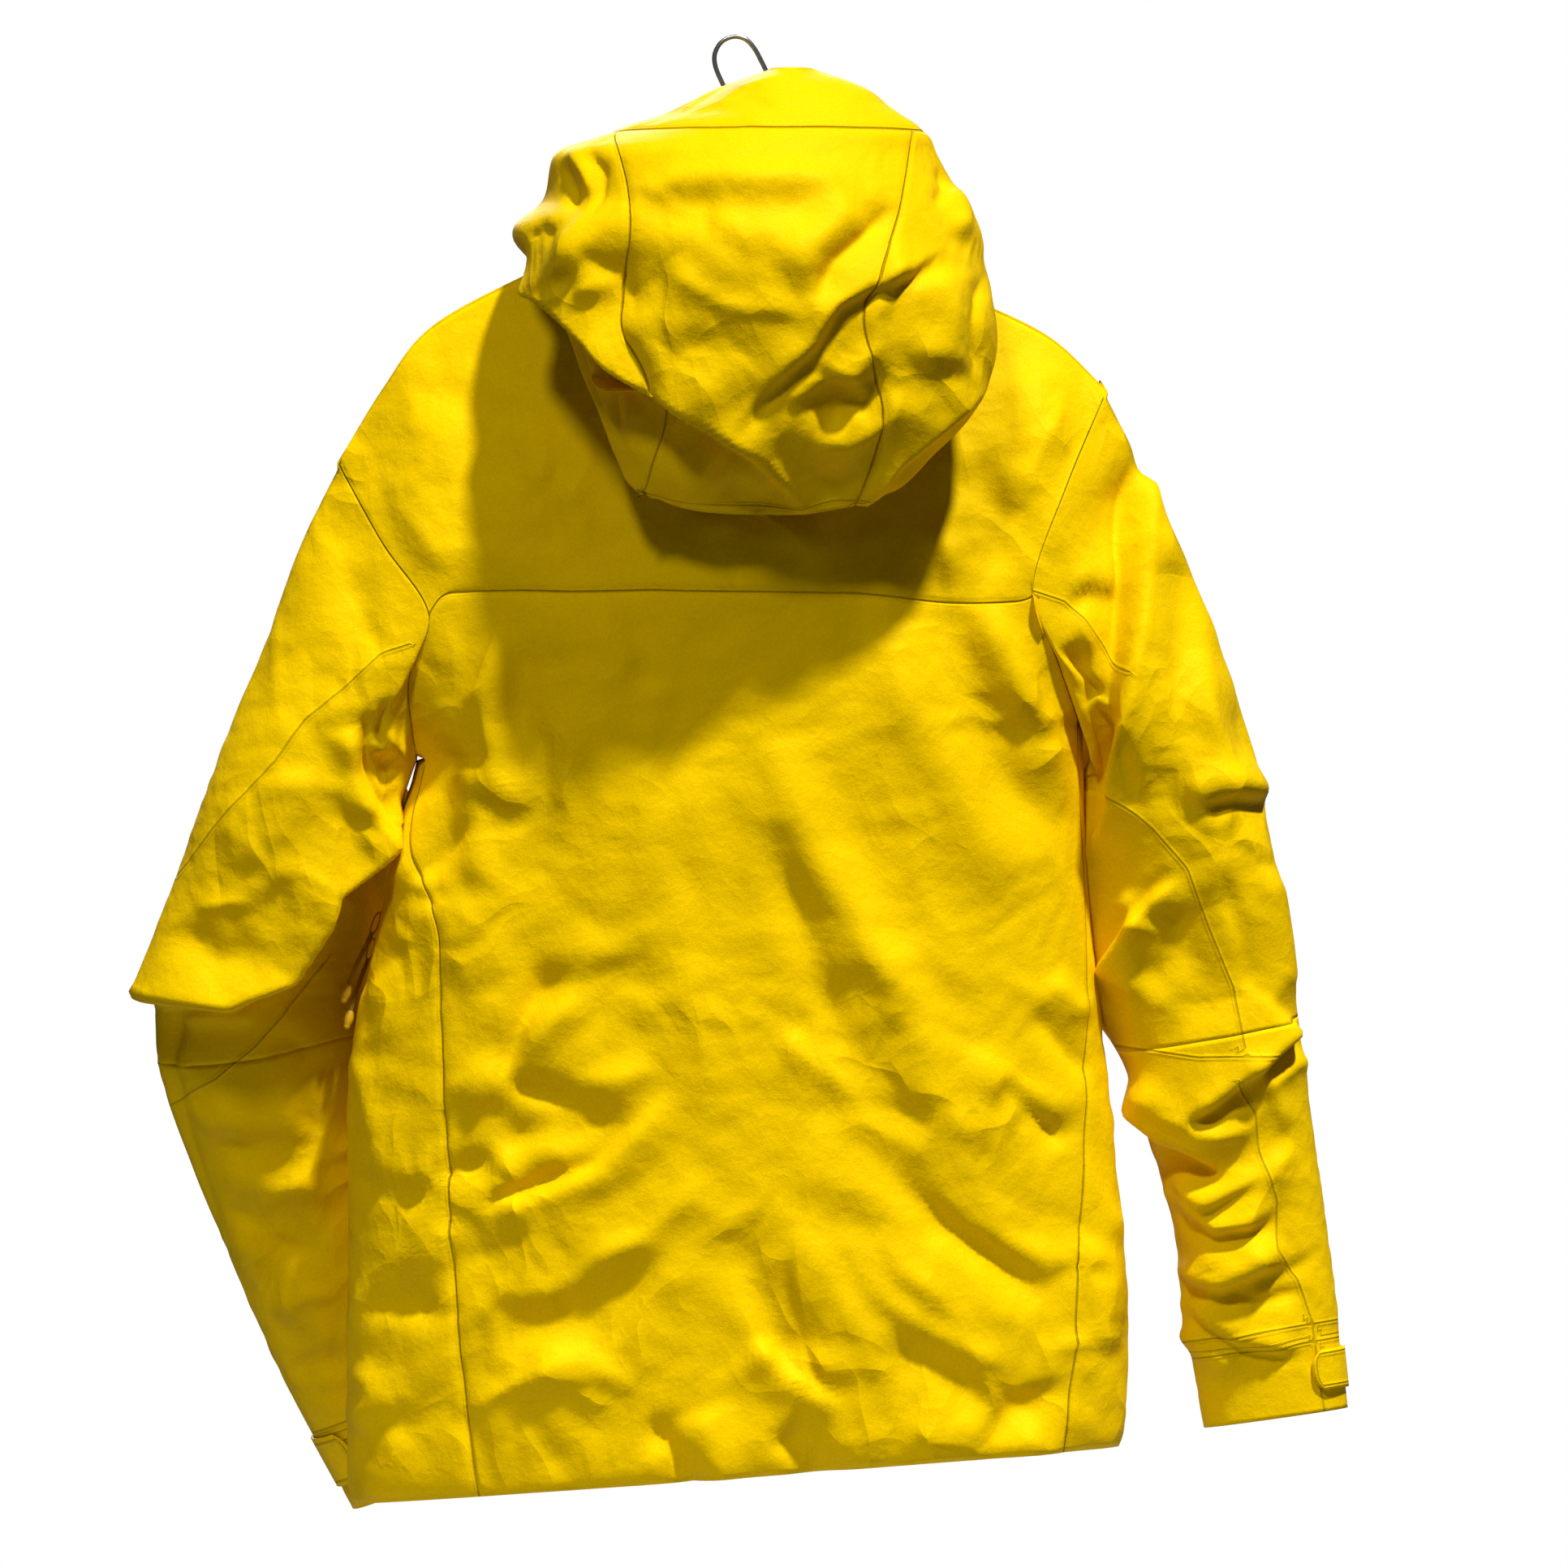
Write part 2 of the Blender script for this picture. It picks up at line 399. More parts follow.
BACK = [
    ("r", [(930, 850), (995, 1050), (1088, 1187), (1171, 1379), (1225, 1455)], 20, 9),
    ("r", [(950, 1000), (990, 1150), (1034, 1269), (1088, 1352)], 13, -6),
    ("c", [(957, 1264), (1034, 1341), (1110, 1430)], 10, 5),
    ("r", [(1040, 1360), (1160, 1500), (1320, 1620)], 14, -8),
    ("c", [(1070, 1400), (1190, 1500), (1340, 1590)], 12, 5),
    ("c", [(1225, 1325), (1270, 1370), (1320, 1412)], 10, -9),
    ("r", [(1180, 1300), (1260, 1350), (1330, 1385)], 12, 5),
    ("l", [(655, 1150), (640, 1230), (622, 1286), (573, 1401)], 16, 8, {"side": (560, 1250), "fa": .4}),
    ("c", [(622, 1324), (660, 1345), (712, 1352)], 10, -8),
    ("l", [(575, 1496), (650, 1480), (743, 1445), (790, 1390), (830, 1340)], 24, 11, {"side": (800, 1500), "drop": 6}),
    ("r", [(600, 1410), (690, 1390), (770, 1350)], 13, -6),
    ("c", [(480, 1486), (545, 1450), (612, 1420)], 11, -8),
    ("c", [(582, 1493), (640, 1470), (705, 1438)], 9, -6),
    ("r", [(500, 1440), (540, 1463), (560, 1440)], 9, 6), ("r", [(500, 1560), (543, 1538), (565, 1500)], 9, 6),
    ("c", [(800, 1740), (835, 1795), (862, 1835)], 10, -10, {"fb": 0}),
    ("r", [(860, 1730), (880, 1790), (890, 1830)], 14, 6, {"fb": 0}),
    ("l", [(925, 1640), (965, 1690), (1040, 1740)], 14, 9, {"side": (900, 1720), "drop": 4}),
    ("r", [(960, 1750), (990, 1790), (1020, 1825)], 13, -7, {"fb": 0}),
    ("r", [(1100, 1760), (1200, 1770), (1290, 1800)], 14, 5, {"fb": 0}), ("r", [(1200, 1800), (1250, 1740), (1330, 1700)], 11, -6),
    ("r", [(625, 765), (600, 860), (618, 960), (640, 1020)], 10, 7), ("r", [(650, 775), (640, 880), (655, 985)], 9, -5),
    ("c", [(597, 1000), (560, 1040), (500, 1095)], 9, -5), ("r", [(575, 930), (585, 1010), (590, 1100)], 12, 5),
    ("r", [(520, 960), (510, 1050), (490, 1110)], 10, 6), ("c", [(500, 1100), (530, 1110), (545, 1090)], 6, -5),
    ("r", [(1130, 660), (1165, 760), (1200, 860), (1260, 980), (1290, 1060)], 20, -7),
    ("r", [(1090, 760), (1120, 880), (1190, 1010), (1260, 1130)], 22, 6),
    ("r", [(1190, 720), (1230, 800), (1280, 900), (1310, 1020)], 14, 6),
    ("c", [(1135, 645), (1165, 680), (1175, 720)], 8, 5), ("c", [(1290, 760), (1300, 830), (1330, 910)], 8, -6),
    ("r", [(850, 880), (840, 1050), (860, 1250), (870, 1450)], 26, 4), ("r", [(760, 800), (740, 1000), (770, 1200)], 30, 4),
    ("r", [(700, 1180), (640, 1250), (600, 1330)], 12, -6), ("r", [(740, 1130), (700, 1240), (620, 1300)], 16, 5),
    ("c", [(640, 1690), (720, 1670), (800, 1720)], 11, 4), ("r", [(430, 1765), (470, 1720), (440, 1680)], 9, 6),
    ("c", [(440, 1290), (465, 1400), (470, 1470)], 9, 6), ("r", [(450, 1620), (500, 1600), (550, 1630)], 10, -5),
    ("c", [(1290, 1660), (1340, 1650), (1388, 1650)], 8, 5), ("c", [(1285, 1580), (1330, 1560), (1380, 1575)], 9, -5),
    ("r", [(1290, 1200), (1320, 1240), (1350, 1250)], 8, 5), ("c", [(1270, 1240), (1310, 1290), (1350, 1330)], 9, -6),
    ("r", [(700, 520), (640, 620), (620, 740)], 26, 4), ("r", [(560, 480), (520, 600), (540, 740)], 24, 5),
    ("c", [(430, 580), (450, 640), (440, 700)], 9, 4), ("r", [(1250, 430), (1300, 520), (1290, 640)], 24, 4),
    ("r", [(1180, 560), (1230, 640), (1250, 720)], 16, -4),
]
BACK += scatter(34, (440, 1150, 830, 1830), lambda a, d: -34 + (a - 650) * 0.03, 12, 60, 150, 8, 15, 1.6, 3.4, 11)
BACK += scatter(34, (900, 1150, 1380, 1800), lambda a, d: 42 + (d - 1500) * 0.02, 12, 60, 150, 8, 15, 1.6, 3.4, 12)
BACK += scatter(20, (600, 760, 1300, 1180), lambda a, d: 82 - (a - 907) * 0.06, 10, 90, 190, 10, 20, 1.2, 2.6, 13)
BACK += scatter(30, (780, 1130, 1120, 1500), lambda a, d: 4, 6, 40, 110, 2.6, 4.0, 0.3, 0.6, 14)
BACK += scatter(16, (430, 420, 1400, 740), lambda a, d: 72 if a < 907 else 108, 14, 70, 150, 10, 18, 0.8, 2.0, 15)
BACK += [("c", [(560, 1750), (640, 1700), (760, 1690)], 16, 5), ("r", [(900, 1500), (960, 1620), (1000, 1700)], 18, -5), ("c", [(700, 1560), (800, 1520), (880, 1440)], 18, 5), ("r", [(600, 1640), (720, 1620), (820, 1560)], 18, -5),
    ("c", [(1040, 1560), (1140, 1640), (1260, 1690)], 16, 5), ("r", [(1080, 1640), (1180, 1700), (1300, 1740)], 16, -5), ("c", [(720, 1210), (650, 1300), (600, 1370)], 14, 5), ("c", [(820, 1300), (740, 1360), (640, 1420)], 16, 5)]
HOODF = [
    ("s", [(650, 300), (676, 345), (705, 374), (754, 422), (780, 451), (831, 485), (899, 534), (938, 558), (977, 602), (1000, 640)], 42, 15, {"side": (900, 420), "fa": .1, "fb": .12}),
    ("l", [(650, 300), (676, 345), (705, 374), (754, 422), (780, 451), (831, 485), (899, 534), (938, 558), (977, 602), (996, 632)], 46, 17, {"side": (900, 420), "fa": .12, "fb": .2, "drop": 4, "under": .35}),
    ("c", [(1105, 255), (1060, 300), (1025, 330), (1001, 385)], 14, -10), ("r", [(1060, 250), (1010, 300), (960, 350)], 16, 7),
    ("l", [(1168, 305), (1110, 340), (1062, 359), (1025, 379), (996, 427), (948, 470), (905, 530)], 26, 12, {"side": (900, 400), "fb": .3, "drop": 5}),
    ("r", [(1040, 462), (1018, 495), (1048, 528)], 16, -12, {"fa": .3, "fb": .3}),
    ("c", [(960, 500), (1000, 478), (1050, 462), (1085, 420)], 12, 9), ("c", [(1000, 545), (1040, 548), (1090, 520), (1110, 480)], 12, 8),
    ("c", [(1055, 520), (1075, 490), (1070, 460)], 8, -8),
    ("r", [(1100, 300), (1075, 400), (1080, 470)], 8, 5), ("r", [(1140, 330), (1165, 400), (1150, 470)], 18, 8),
    ("c", [(1215, 330), (1195, 400), (1205, 470)], 10, -6), ("l", [(1224, 470), (1160, 520), (1100, 570), (1050, 640)], 22, 8, {"side": (1120, 450), "drop": 8}),
    ("r", [(760, 262), (802, 243), (831, 233), (899, 226), (996, 228), (1062, 236)], 9, 5), ("r", [(770, 285), (860, 262), (960, 258), (1040, 268)], 14, -5),
    ("c", [(700, 185), (722, 215), (735, 250)], 5, 6), ("c", [(690, 200), (708, 235), (712, 270)], 5, -6), ("c", [(720, 190), (745, 215), (740, 262)], 4, -6),
    ("c", [(1155, 205), (1165, 235), (1150, 262)], 5, -6), ("r", [(1172, 225), (1185, 260), (1180, 300)], 7, 6),
    ("c", [(650, 300), (668, 285), (690, 300)], 7, -6), ("r", [(690, 290), (740, 330), (760, 380)], 13, 8), ("c", [(720, 300), (775, 345), (800, 400)], 11, -6),
    ("r", [(770, 380), (830, 440), (900, 515)], 22, 9), ("c", [(820, 330), (900, 380), (1000, 392)], 14, 5), ("r", [(900, 300), (860, 360), (850, 430)], 22, 5),
    ("r", [(900, 560), (960, 610), (1010, 640)], 12, 5), ("r", [(760, 480), (820, 560), (900, 610)], 24, 6), ("c", [(700, 400), (740, 480), (770, 560)], 12, -5),
    ("r", [(930, 540), (1000, 590), (1060, 600)], 16, -7),
]
HOODF += scatter(16, (700, 250, 1200, 600), lambda a, d: 42 if a < 950 else 128, 14, 45, 95, 7, 12, 1.2, 2.6, 21)
LSLV = [
    ("s", [(500, 985), (471, 1019), (440, 1050), (401, 1086), (386, 1131), (350, 1198), (280, 1233), (150, 1222)], 75, 30, {"side": (280, 1080), "fa": .06, "fb": 0}),
    ("l", [(490, 1000), (440, 1050), (401, 1086), (386, 1131), (350, 1198), (280, 1233), (150, 1222)], 34, 15, {"side": (280, 1080), "fa": .08, "fb": 0, "drop": 4, "under": .5}),
    ("r", [(165, 1236), (217, 1256), (330, 1262)], 9, 7, {"fa": 0}), ("c", [(452, 870), (450, 944), (474, 1018)], 9, -9),
    ("r", [(480, 925), (478, 945), (486, 965)], 12, -9), ("c", [(520, 905), (500, 930), (470, 900)], 8, 7), ("r", [(430, 890), (438, 960), (445, 1010)], 11, 8),
    ("c", [(480, 860), (470, 900), (480, 930)], 7, -7), ("r", [(415, 620), (385, 780), (330, 940), (280, 1050)], 22, 5), ("r", [(450, 680), (440, 780), (400, 880)], 13, -4),
    ("r", [(215, 1140), (270, 1180), (330, 1170)], 12, -5), ("c", [(235, 1120), (300, 1110), (370, 1050)], 12, 5), ("r", [(380, 930), (350, 1010), (290, 1080)], 18, 5),
    ("r", [(225, 1380), (310, 1400), (390, 1380)], 15, 4), ("c", [(270, 1490), (340, 1540), (400, 1550)], 12, -6), ("r", [(250, 1440), (330, 1470), (410, 1460)], 12, 5),
    ("c", [(330, 1630), (370, 1600), (420, 1600)], 10, 5), ("r", [(350, 1700), (400, 1680), (430, 1700)], 10, -5), ("c", [(400, 1300), (360, 1290), (330, 1310)], 9, -4),
]
LSLV += scatter(26, (180, 1270, 440, 1820), lambda a, d: 16 if a < 330 else -20, 16, 45, 100, 7, 12, 1.6, 3.4, 31)
LSLV += scatter(18, (230, 600, 500, 1150), lambda a, d: 116, 14, 60, 130, 8, 15, 1.2, 2.8, 32)
RSLV = [
    ("s", [(1418, 545), (1407, 653), (1404, 744), (1392, 847), (1383, 926), (1378, 990), (1330, 1070)], 34, 16, {"side": (1460, 800), "fa": .15}),
    ("l", [(1418, 545), (1407, 653), (1404, 744), (1392, 847), (1383, 926), (1378, 990), (1330, 1070)], 26, 10, {"side": (1460, 800), "fa": .1, "drop": 4, "under": .5}),
    ("c", [(1560, 992), (1520, 990), (1480, 1000)], 9, -8, {"fa": 0}), ("r", [(1556, 975), (1500, 965), (1450, 985)], 11, 6, {"fa": 0}),
    ("l", [(1455, 1078), (1400, 1140), (1345, 1225)], 20, 10, {"side": (1440, 1180), "drop": 5}), ("c", [(1385, 1095), (1400, 1140), (1440, 1150)], 9, 6), ("r", [(1450, 1110), (1440, 1180), (1400, 1220)], 14, -5),
    ("l", [(1600, 1262), (1551, 1310), (1500, 1350), (1455, 1385)], 20, 13, {"side": (1500, 1290), "drop": 4, "under": .6, "fa": .1}),
    ("c", [(1395, 1330), (1450, 1375), (1500, 1400), (1550, 1390)], 12, 8), ("r", [(1420, 1420), (1480, 1440), (1540, 1420)], 12, -7),
    ("l", [(1445, 1470), (1500, 1510), (1540, 1505), (1575, 1480)], 15, 9, {"side": (1510, 1450), "drop": 4}), ("c", [(1470, 1550), (1530, 1560), (1590, 1530)], 10, 7),
    ("l", [(1465, 1600), (1530, 1650), (1610, 1666)], 15, 9, {"side": (1540, 1600), "drop": 4}), ("c", [(1500, 1590), (1550, 1605), (1610, 1590)], 9, -6),
    ("c", [(1520, 1290), (1560, 1330), (1590, 1400)], 10, 5), ("r", [(1430, 1640), (1480, 1650), (1530, 1700)], 10, 6),
    ("l", [(1315, 726), (1345, 712), (1392, 724)], 12, 8, {"side": (1340, 690), "drop": 6, "under": .5}), ("r", [(1325, 790), (1335, 830), (1345, 880)], 12, -8), ("c", [(1330, 740), (1345, 800), (1350, 860)], 9, 7),
    ("c", [(1340, 870), (1360, 920), (1355, 980)], 8, -8), ("r", [(1470, 640), (1500, 760), (1530, 900)], 18, 5), ("r", [(1440, 680), (1450, 800), (1440, 920)], 12, -4),
    ("r", [(1560, 1060), (1580, 1160), (1590, 1240)], 12, 5), ("c", [(1500, 1060), (1530, 1150), (1545, 1240)], 12, -4),
]
RSLV += scatter(26, (1370, 1310, 1650, 1660), lambda a, d: 30 if a < 1520 else -32, 14, 45, 95, 7, 12, 2.0, 4.4, 41)
RSLV += [("l", [(1380, 1330), (1440, 1400), (1530, 1450)], 20, 10, {"side": (1460, 1360)}), ("l", [(1450, 1560), (1510, 1580), (1590, 1545)], 18, 10, {"side": (1510, 1520)}), ("l", [(1430, 1440), (1490, 1480), (1560, 1440)], 16, 8, {"side": (1490, 1430)}),
    ("r", [(1440, 1090), (1480, 1200), (1500, 1280)], 22, -6), ("c", [(1430, 620), (1470, 780), (1500, 960)], 22, 6), ("r", [(1500, 760), (1530, 880), (1545, 960)], 16, -5)]
RSLV += scatter(18, (1380, 560, 1600, 1280), lambda a, d: 76, 14, 60, 140, 8, 15, 1.2, 2.8, 42)
# ---------------------------------------------------------------- noise
class Noise:
    def __init__(self, seed):
        r = np.random.default_rng(seed)
        a = r.uniform(0, 2 * math.pi, (256, 256)); self.g = np.stack([np.cos(a), np.sin(a)], -1)
    def __call__(self, x, y):
        xi, yi = np.floor(x).astype(int), np.floor(y).astype(int); fx, fy = x - xi, y - yi
        def dot(i, j):
            g = self.g[(xi + i) % 256, (yi + j) % 256]; return g[..., 0] * (fx - i) + g[..., 1] * (fy - j)
        u, v = fx * fx * fx * (fx * (fx * 6 - 15) + 10), fy * fy * fy * (fy * (fy * 6 - 15) + 10)
        a = dot(0, 0) * (1 - u) + dot(1, 0) * u; b = dot(0, 1) * (1 - u) + dot(1, 1) * u
        return a * (1 - v) + b * v
N1, N2, N3 = Noise(3), Noise(4), Noise(5)
def crumple(x, z, ang, amp, s1=62.0, s2=30.0):
    c, s = math.cos(math.radians(ang)), math.sin(math.radians(ang))
    a, b = x * c + z * s, -x * s + z * c
    wx, wz = 14 * N2(x / 90, z / 90), 14 * N2(x / 90 + 40, z / 90)
    r = 1 - 2.2 * np.abs(N1((a + wx) / s1 / 1.7, (b + wz) / s1 * 1.5))
    q = 1 - 2.2 * np.abs(N3((a + wz) / s2 / 1.6, (b + wx) / s2 * 1.4))
    mask = np.clip(0.55 + 1.5 * N2(x / 130 + 9, z / 130 + 5), 0, 1)
    return amp * (mask * (r * 0.9 + q * 0.45) + 1.1 * N3(x / 140, z / 140))

# ---------------------------------------------------------------- panels
SEAM_T = [[(426, 1802), (449, 1826), (500, 1818), (543, 1823), (650, 1821), (764, 1806), (855, 1797), (894, 1786), (1025, 1787), (1190, 1772), (1239, 1777), (1312, 1756), (1385, 1750)]]
SEAM_LS = [[(505, 795), (471, 806), (423, 850), (380, 889), (344, 941), (283, 1004), (218, 1082)], [(200, 1366), (256, 1344), (309, 1307), (362, 1259), (426, 1190)]]
SEAM_RS = [[(1270, 729), (1313, 741), (1331, 756), (1362, 792), (1392, 832)], [(1376, 975), (1422, 1022), (1462, 1071), (1489, 1144), (1519, 1216), (1531, 1295)],
           [(1345, 1284), (1419, 1294), (1477, 1302), (1533, 1300), (1560, 1298)], [(1522, 1331), (1546, 1371), (1551, 1418), (1573, 1482), (1573, 1540), (1599, 1578), (1618, 1631), (1623, 1673), (1637, 1763)]]
def seam_dist(x, z, polys):
    best = np.full(x.shape, 40.0); out = np.full(x.shape, 40.0)
    for pts in polys:
        P = np.stack([X2(pts), Z2(pts)], 1); seg = np.diff(P, axis=0); L = np.hypot(seg[:, 0], seg[:, 1])
        for k in range(len(seg)):
            d = seg[k] / L[k]; tx = (x - P[k, 0]) * d[0] + (z - P[k, 1]) * d[1]; tc = np.clip(tx, 0, L[k])
            dist = np.hypot(x - P[k, 0] - d[0] * tc, z - P[k, 1] - d[1] * tc)
            s = np.sign(d[0] * (z - P[k, 1]) - d[1] * (x - P[k, 0])); s[s == 0] = 1
            up = dist < best; best = np.where(up, dist, best); out = np.where(up, dist * s, out)
    return out
def normals(P, wrap, out):
    if wrap: du = np.roll(P, -1, 1) - np.roll(P, 1, 1)
    else: du = np.gradient(P, axis=1)
    N = np.cross(du, np.gradient(P, axis=0)); N /= np.maximum(np.linalg.norm(N, axis=2, keepdims=True), 1e-9)
    return N * out
def soften(P, wrap):
    Q = P.copy(); Q[1:-1] = P[1:-1] * .5 + (P[:-2] + P[2:]) * .25
    if wrap: return Q * .5 + (np.roll(Q, 1, 1) + np.roll(Q, -1, 1)) * .25
    R = Q.copy(); R[:, 1:-1] = Q[:, 1:-1] * .5 + (Q[:, :-2] + Q[:, 2:]) * .25; return R
def params(a, b, n): return np.linspace(a, b, n)
class Panel:
    def __init__(self, name, fn, us, vs, group, centre=None, wrap=False, seams=(), tuck="lrtb", th=1.0, fold=1.0, hem=None, mirror=None, sim=True, fade="", roll=0.0, arm=None):
        self.name, self.wrap, self.th, self.group = name, wrap, th, group
        B = np.array([[fn(u, v) for u in us] for v in vs])
        if wrap: C = B.mean(1, keepdims=True)
        else: C = np.array(centre if centre is not None else (5, 0, 0), float).reshape(1, 1, 3)
        N = normals(B, wrap, 1.0); rad = B - C
        if wrap:
            ax = np.gradient(C[:, 0], axis=0); ax /= np.linalg.norm(ax, axis=1, keepdims=True); ax = ax[:, None]
            rad = rad - ax * (rad * ax).sum(2, keepdims=True)
        else: rad[..., 2] = 0
        self.out = 1.0 if (N * rad).sum() > 0 else -1.0
        N = N * self.out; self.B = B
        Ns = N
        for _ in range(4): Ns = soften(Ns, wrap)
        Ns /= np.maximum(np.linalg.norm(Ns, axis=2, keepdims=True), 1e-9)
        x, z = B[..., 0], B[..., 2]
        wb = np.clip((-N[..., 1] + 0.1) / 0.4, 0, 1); wf = np.clip((N[..., 1] - 0.05) / 0.4, 0, 1)
        D, SX, SZ = folds_at(x, z, group)
        ang = {"torso": -25, "left": 20, "right": -30, "hood": 35}[group]
        amp = {"torso": 1.0, "left": 1.1, "right": 1.2, "hood": 0.9}[group]
        if group == "torso": Df = 0.7 * folds_at(-x + 8, z, group)[0]
        else: Df = 0.6 * D
        ampz = 0.35 + 0.65 * np.clip((-250 - z) / 300, 0, 1) if group == "torso" else 1.0
        D = (wb * D + wf * Df) * fold + ampz * crumple(x + 0.35 * B[..., 1], z, ang, amp)
        if wrap and "a" in tuck:
            Dt = wb * folds_at(x, z, "torso")[0] + 0.35 * crumple(x + 0.35 * B[..., 1], z, -25, 1.5)
            cvt = np.concatenate([np.zeros((1, B.shape[1])), np.cumsum(np.linalg.norm(np.diff(B, axis=0), axis=2), 0)], 0)
            k = np.clip(cvt / 44, 0, 1); k = k * k * (3 - 2 * k); D = D * k; SX = SX * k; SZ = SZ * k
        edge = np.full(D.shape, 60.0)
        lu = np.linalg.norm(np.diff(B, axis=1), axis=2); lv = np.linalg.norm(np.diff(B, axis=0), axis=2)
        cu = np.concatenate([np.zeros((B.shape[0], 1)), np.cumsum(lu, 1)], 1); cv = np.concatenate([np.zeros((1, B.shape[1])), np.cumsum(lv, 0)], 0)
        self.dl, self.dr, self.db, self.dt = cu, cu[:, -1:] - cu, cv, cv[-1:] - cv
        self.seam = np.full(D.shape, 40.0)
        def take(d):
            m = np.abs(d) < np.abs(self.seam); self.seam = np.where(m, d, self.seam)
        if not wrap:
            for k, d in (("l", self.dl), ("r", self.dr)):
                if k in tuck: edge = np.minimum(edge, d)
        for k, d in (("b", self.db), ("t", self.dt)):
            if k in tuck: edge = np.minimum(edge, d)
        for polys in seams:
            sd = seam_dist(x, z, polys); take(np.where(N[..., 1] < 0.15, sd, 40.0))
        if hem is not None:
            for k, off in hem: take({"b": self.db, "t": self.dt, "l": self.dl, "r": self.dr}[k] - off)
        take(np.where(edge < 40, edge, 40.0)); self.tuck = tuck; self.faded = "t" in fade
        # Seams hold the cloth: folds shrink a little at a stitched edge and the edge rolls in.
        if tuck: D = D * (0.8 + 0.2 * np.clip(edge / 12, 0, 1)) - 0.7 * np.exp(-(edge / 2.2) ** 2) + 0.35 * np.exp(-((edge - 5) / 3) ** 2)
        if "t" in fade: k = np.clip(self.dt / 28, 0, 1); D = D * (k * k * (3 - 2 * k)) - 0.3 * np.exp(-(self.dt / 2.2) ** 2)
        if arm is not None:
            sides, r0, r1 = arm; vv = np.array(vs, float)[:, None]; ramp = np.clip((vv - r0) / (r1 - r0), 0, 1); ramp = ramp * ramp * (3 - 2 * ramp)
            dd = np.full(D.shape, 99.0)
            if "l" in sides: dd = np.minimum(dd, self.dl)
            if "r" in sides: dd = np.minimum(dd, self.dr)
            if "t" in sides: dd = np.minimum(dd, self.dt)
            k = np.clip(dd / 30, 0, 1); k = k * k * (3 - 2 * k); D = D * (1 - ramp * (1 - k)); SX = SX * (1 - ramp * (1 - k)); SZ = SZ * (1 - ramp * (1 - k))
        if roll: D = D - roll * np.exp(-self.db / 7)
        self.D, self.N0 = D, Ns
        P = B + Ns * D[..., None]
        P[..., 0] += SX * wb * fold; P[..., 2] += SZ * wb * fold
        self.P = P; self.edge = edge; self.sim = sim
        ed = np.minimum(self.db, self.dt)
        if not wrap: ed = np.minimum(ed, np.minimum(self.dl, self.dr))
        self.pin = np.clip(1 - (ed - 4) / 26, 0.28, 1.0)
    def temp(self):
        P = self.P; nv, nu = P.shape[:2]
        me = bpy.data.meshes.new("sim"); me.from_pydata([tuple(p) for p in (P.reshape(-1, 3) / 1000)], [], grid_faces(nv, nu, self.wrap, self.out < 0)); me.update()
        ob = bpy.data.objects.new("sim_" + self.name, me); bpy.context.collection.objects.link(ob)
        vg = ob.vertex_groups.new(name="hold"); w = np.round(self.pin.reshape(-1), 1)
        for q in np.unique(w): vg.add(np.nonzero(w == q)[0].tolist(), float(q), "REPLACE")
        m = ob.modifiers.new("Cloth", "CLOTH"); s = m.settings
        s.quality = 4; s.mass = 0.12; s.air_damping = 2.0; s.tension_stiffness = 20; s.compression_stiffness = 20; s.shear_stiffness = 8; s.bending_stiffness = 8.0
        s.tension_damping = 6; s.compression_damping = 6; s.shear_damping = 6
        s.vertex_group_mass = "hold"; s.pin_stiffness = 0.8; s.shrink_min = -0.007; s.effector_weights.gravity = 0.15
        m.collision_settings.use_collision = False; m.point_cache.frame_start = 1; m.point_cache.frame_end = 14
        return ob
    def settle(self, co):
        d = co.reshape(self.P.shape) * 1000 - self.P; L = np.linalg.norm(d, axis=2, keepdims=True)
        if not np.isfinite(d).all(): return
        d *= np.minimum(1, 4.0 / np.maximum(L, 1e-6)); self.P = self.P + d
def grid_faces(nv, nu, wrap, flip):
    j, i = np.meshgrid(np.arange(nv - 1), np.arange(nu if wrap else nu - 1), indexing="ij")
    a = j * nu + i; b = j * nu + (i + 1) % nu; c = (j + 1) * nu + (i + 1) % nu; d = (j + 1) * nu + i
    F = np.stack([a, b, c, d], -1).reshape(-1, 4)
    return (F[:, ::-1] if flip else F).tolist()
def make_mesh(name, verts, faces, attrs=None, mat=None):
    me = bpy.data.meshes.new(name); me.from_pydata([tuple(v) for v in verts], [], faces)
    for k, a in (attrs or {}).items():
        at = me.attributes.new(k, "FLOAT", "POINT"); at.data.foreach_set("value", np.asarray(a, np.float32))
    me.shade_smooth(); me.update()
    ob = bpy.data.objects.new(name, me); bpy.context.collection.objects.link(ob)
    if mat: me.materials.append(mat)
    return ob
def to_row(P): Q = P.reshape(-1, 3).copy(); Q[:, 2] += OZ; return Q / 1000
def shell_mesh(name, P, N, th, wrap, flip, seam, mat, close=True):
    nv, nu = P.shape[:2]; n = nv * nu
    V0 = to_row(P); V1 = to_row(P - N * th)
    F = grid_faces(nv, nu, wrap, flip); G = [[n + k for k in f[::-1]] for f in F]
    E = []
    ring = lambda j: [(j * nu + i, j * nu + (i + 1) % nu) for i in range(nu if wrap else nu - 1)]
    def strip(pairs, fl):
        for a, b in pairs: E.append([a, n + a, n + b, b] if fl else [a, b, n + b, n + a])
    strip(ring(0), not flip); strip(ring(nv - 1), flip)
    if not wrap:
        strip([(j * nu, (j + 1) * nu) for j in range(nv - 1)], flip); strip([(j * nu + nu - 1, (j + 1) * nu + nu - 1) for j in range(nv - 1)], not flip)
    s = seam.reshape(-1)
    return make_mesh(name, np.vstack([V0, V1]), F + G + E, {"seam": np.concatenate([s, s * 0 + 40]), "seamd": np.concatenate([np.abs(s), s * 0 + 40])}, mat)
_ff = {}
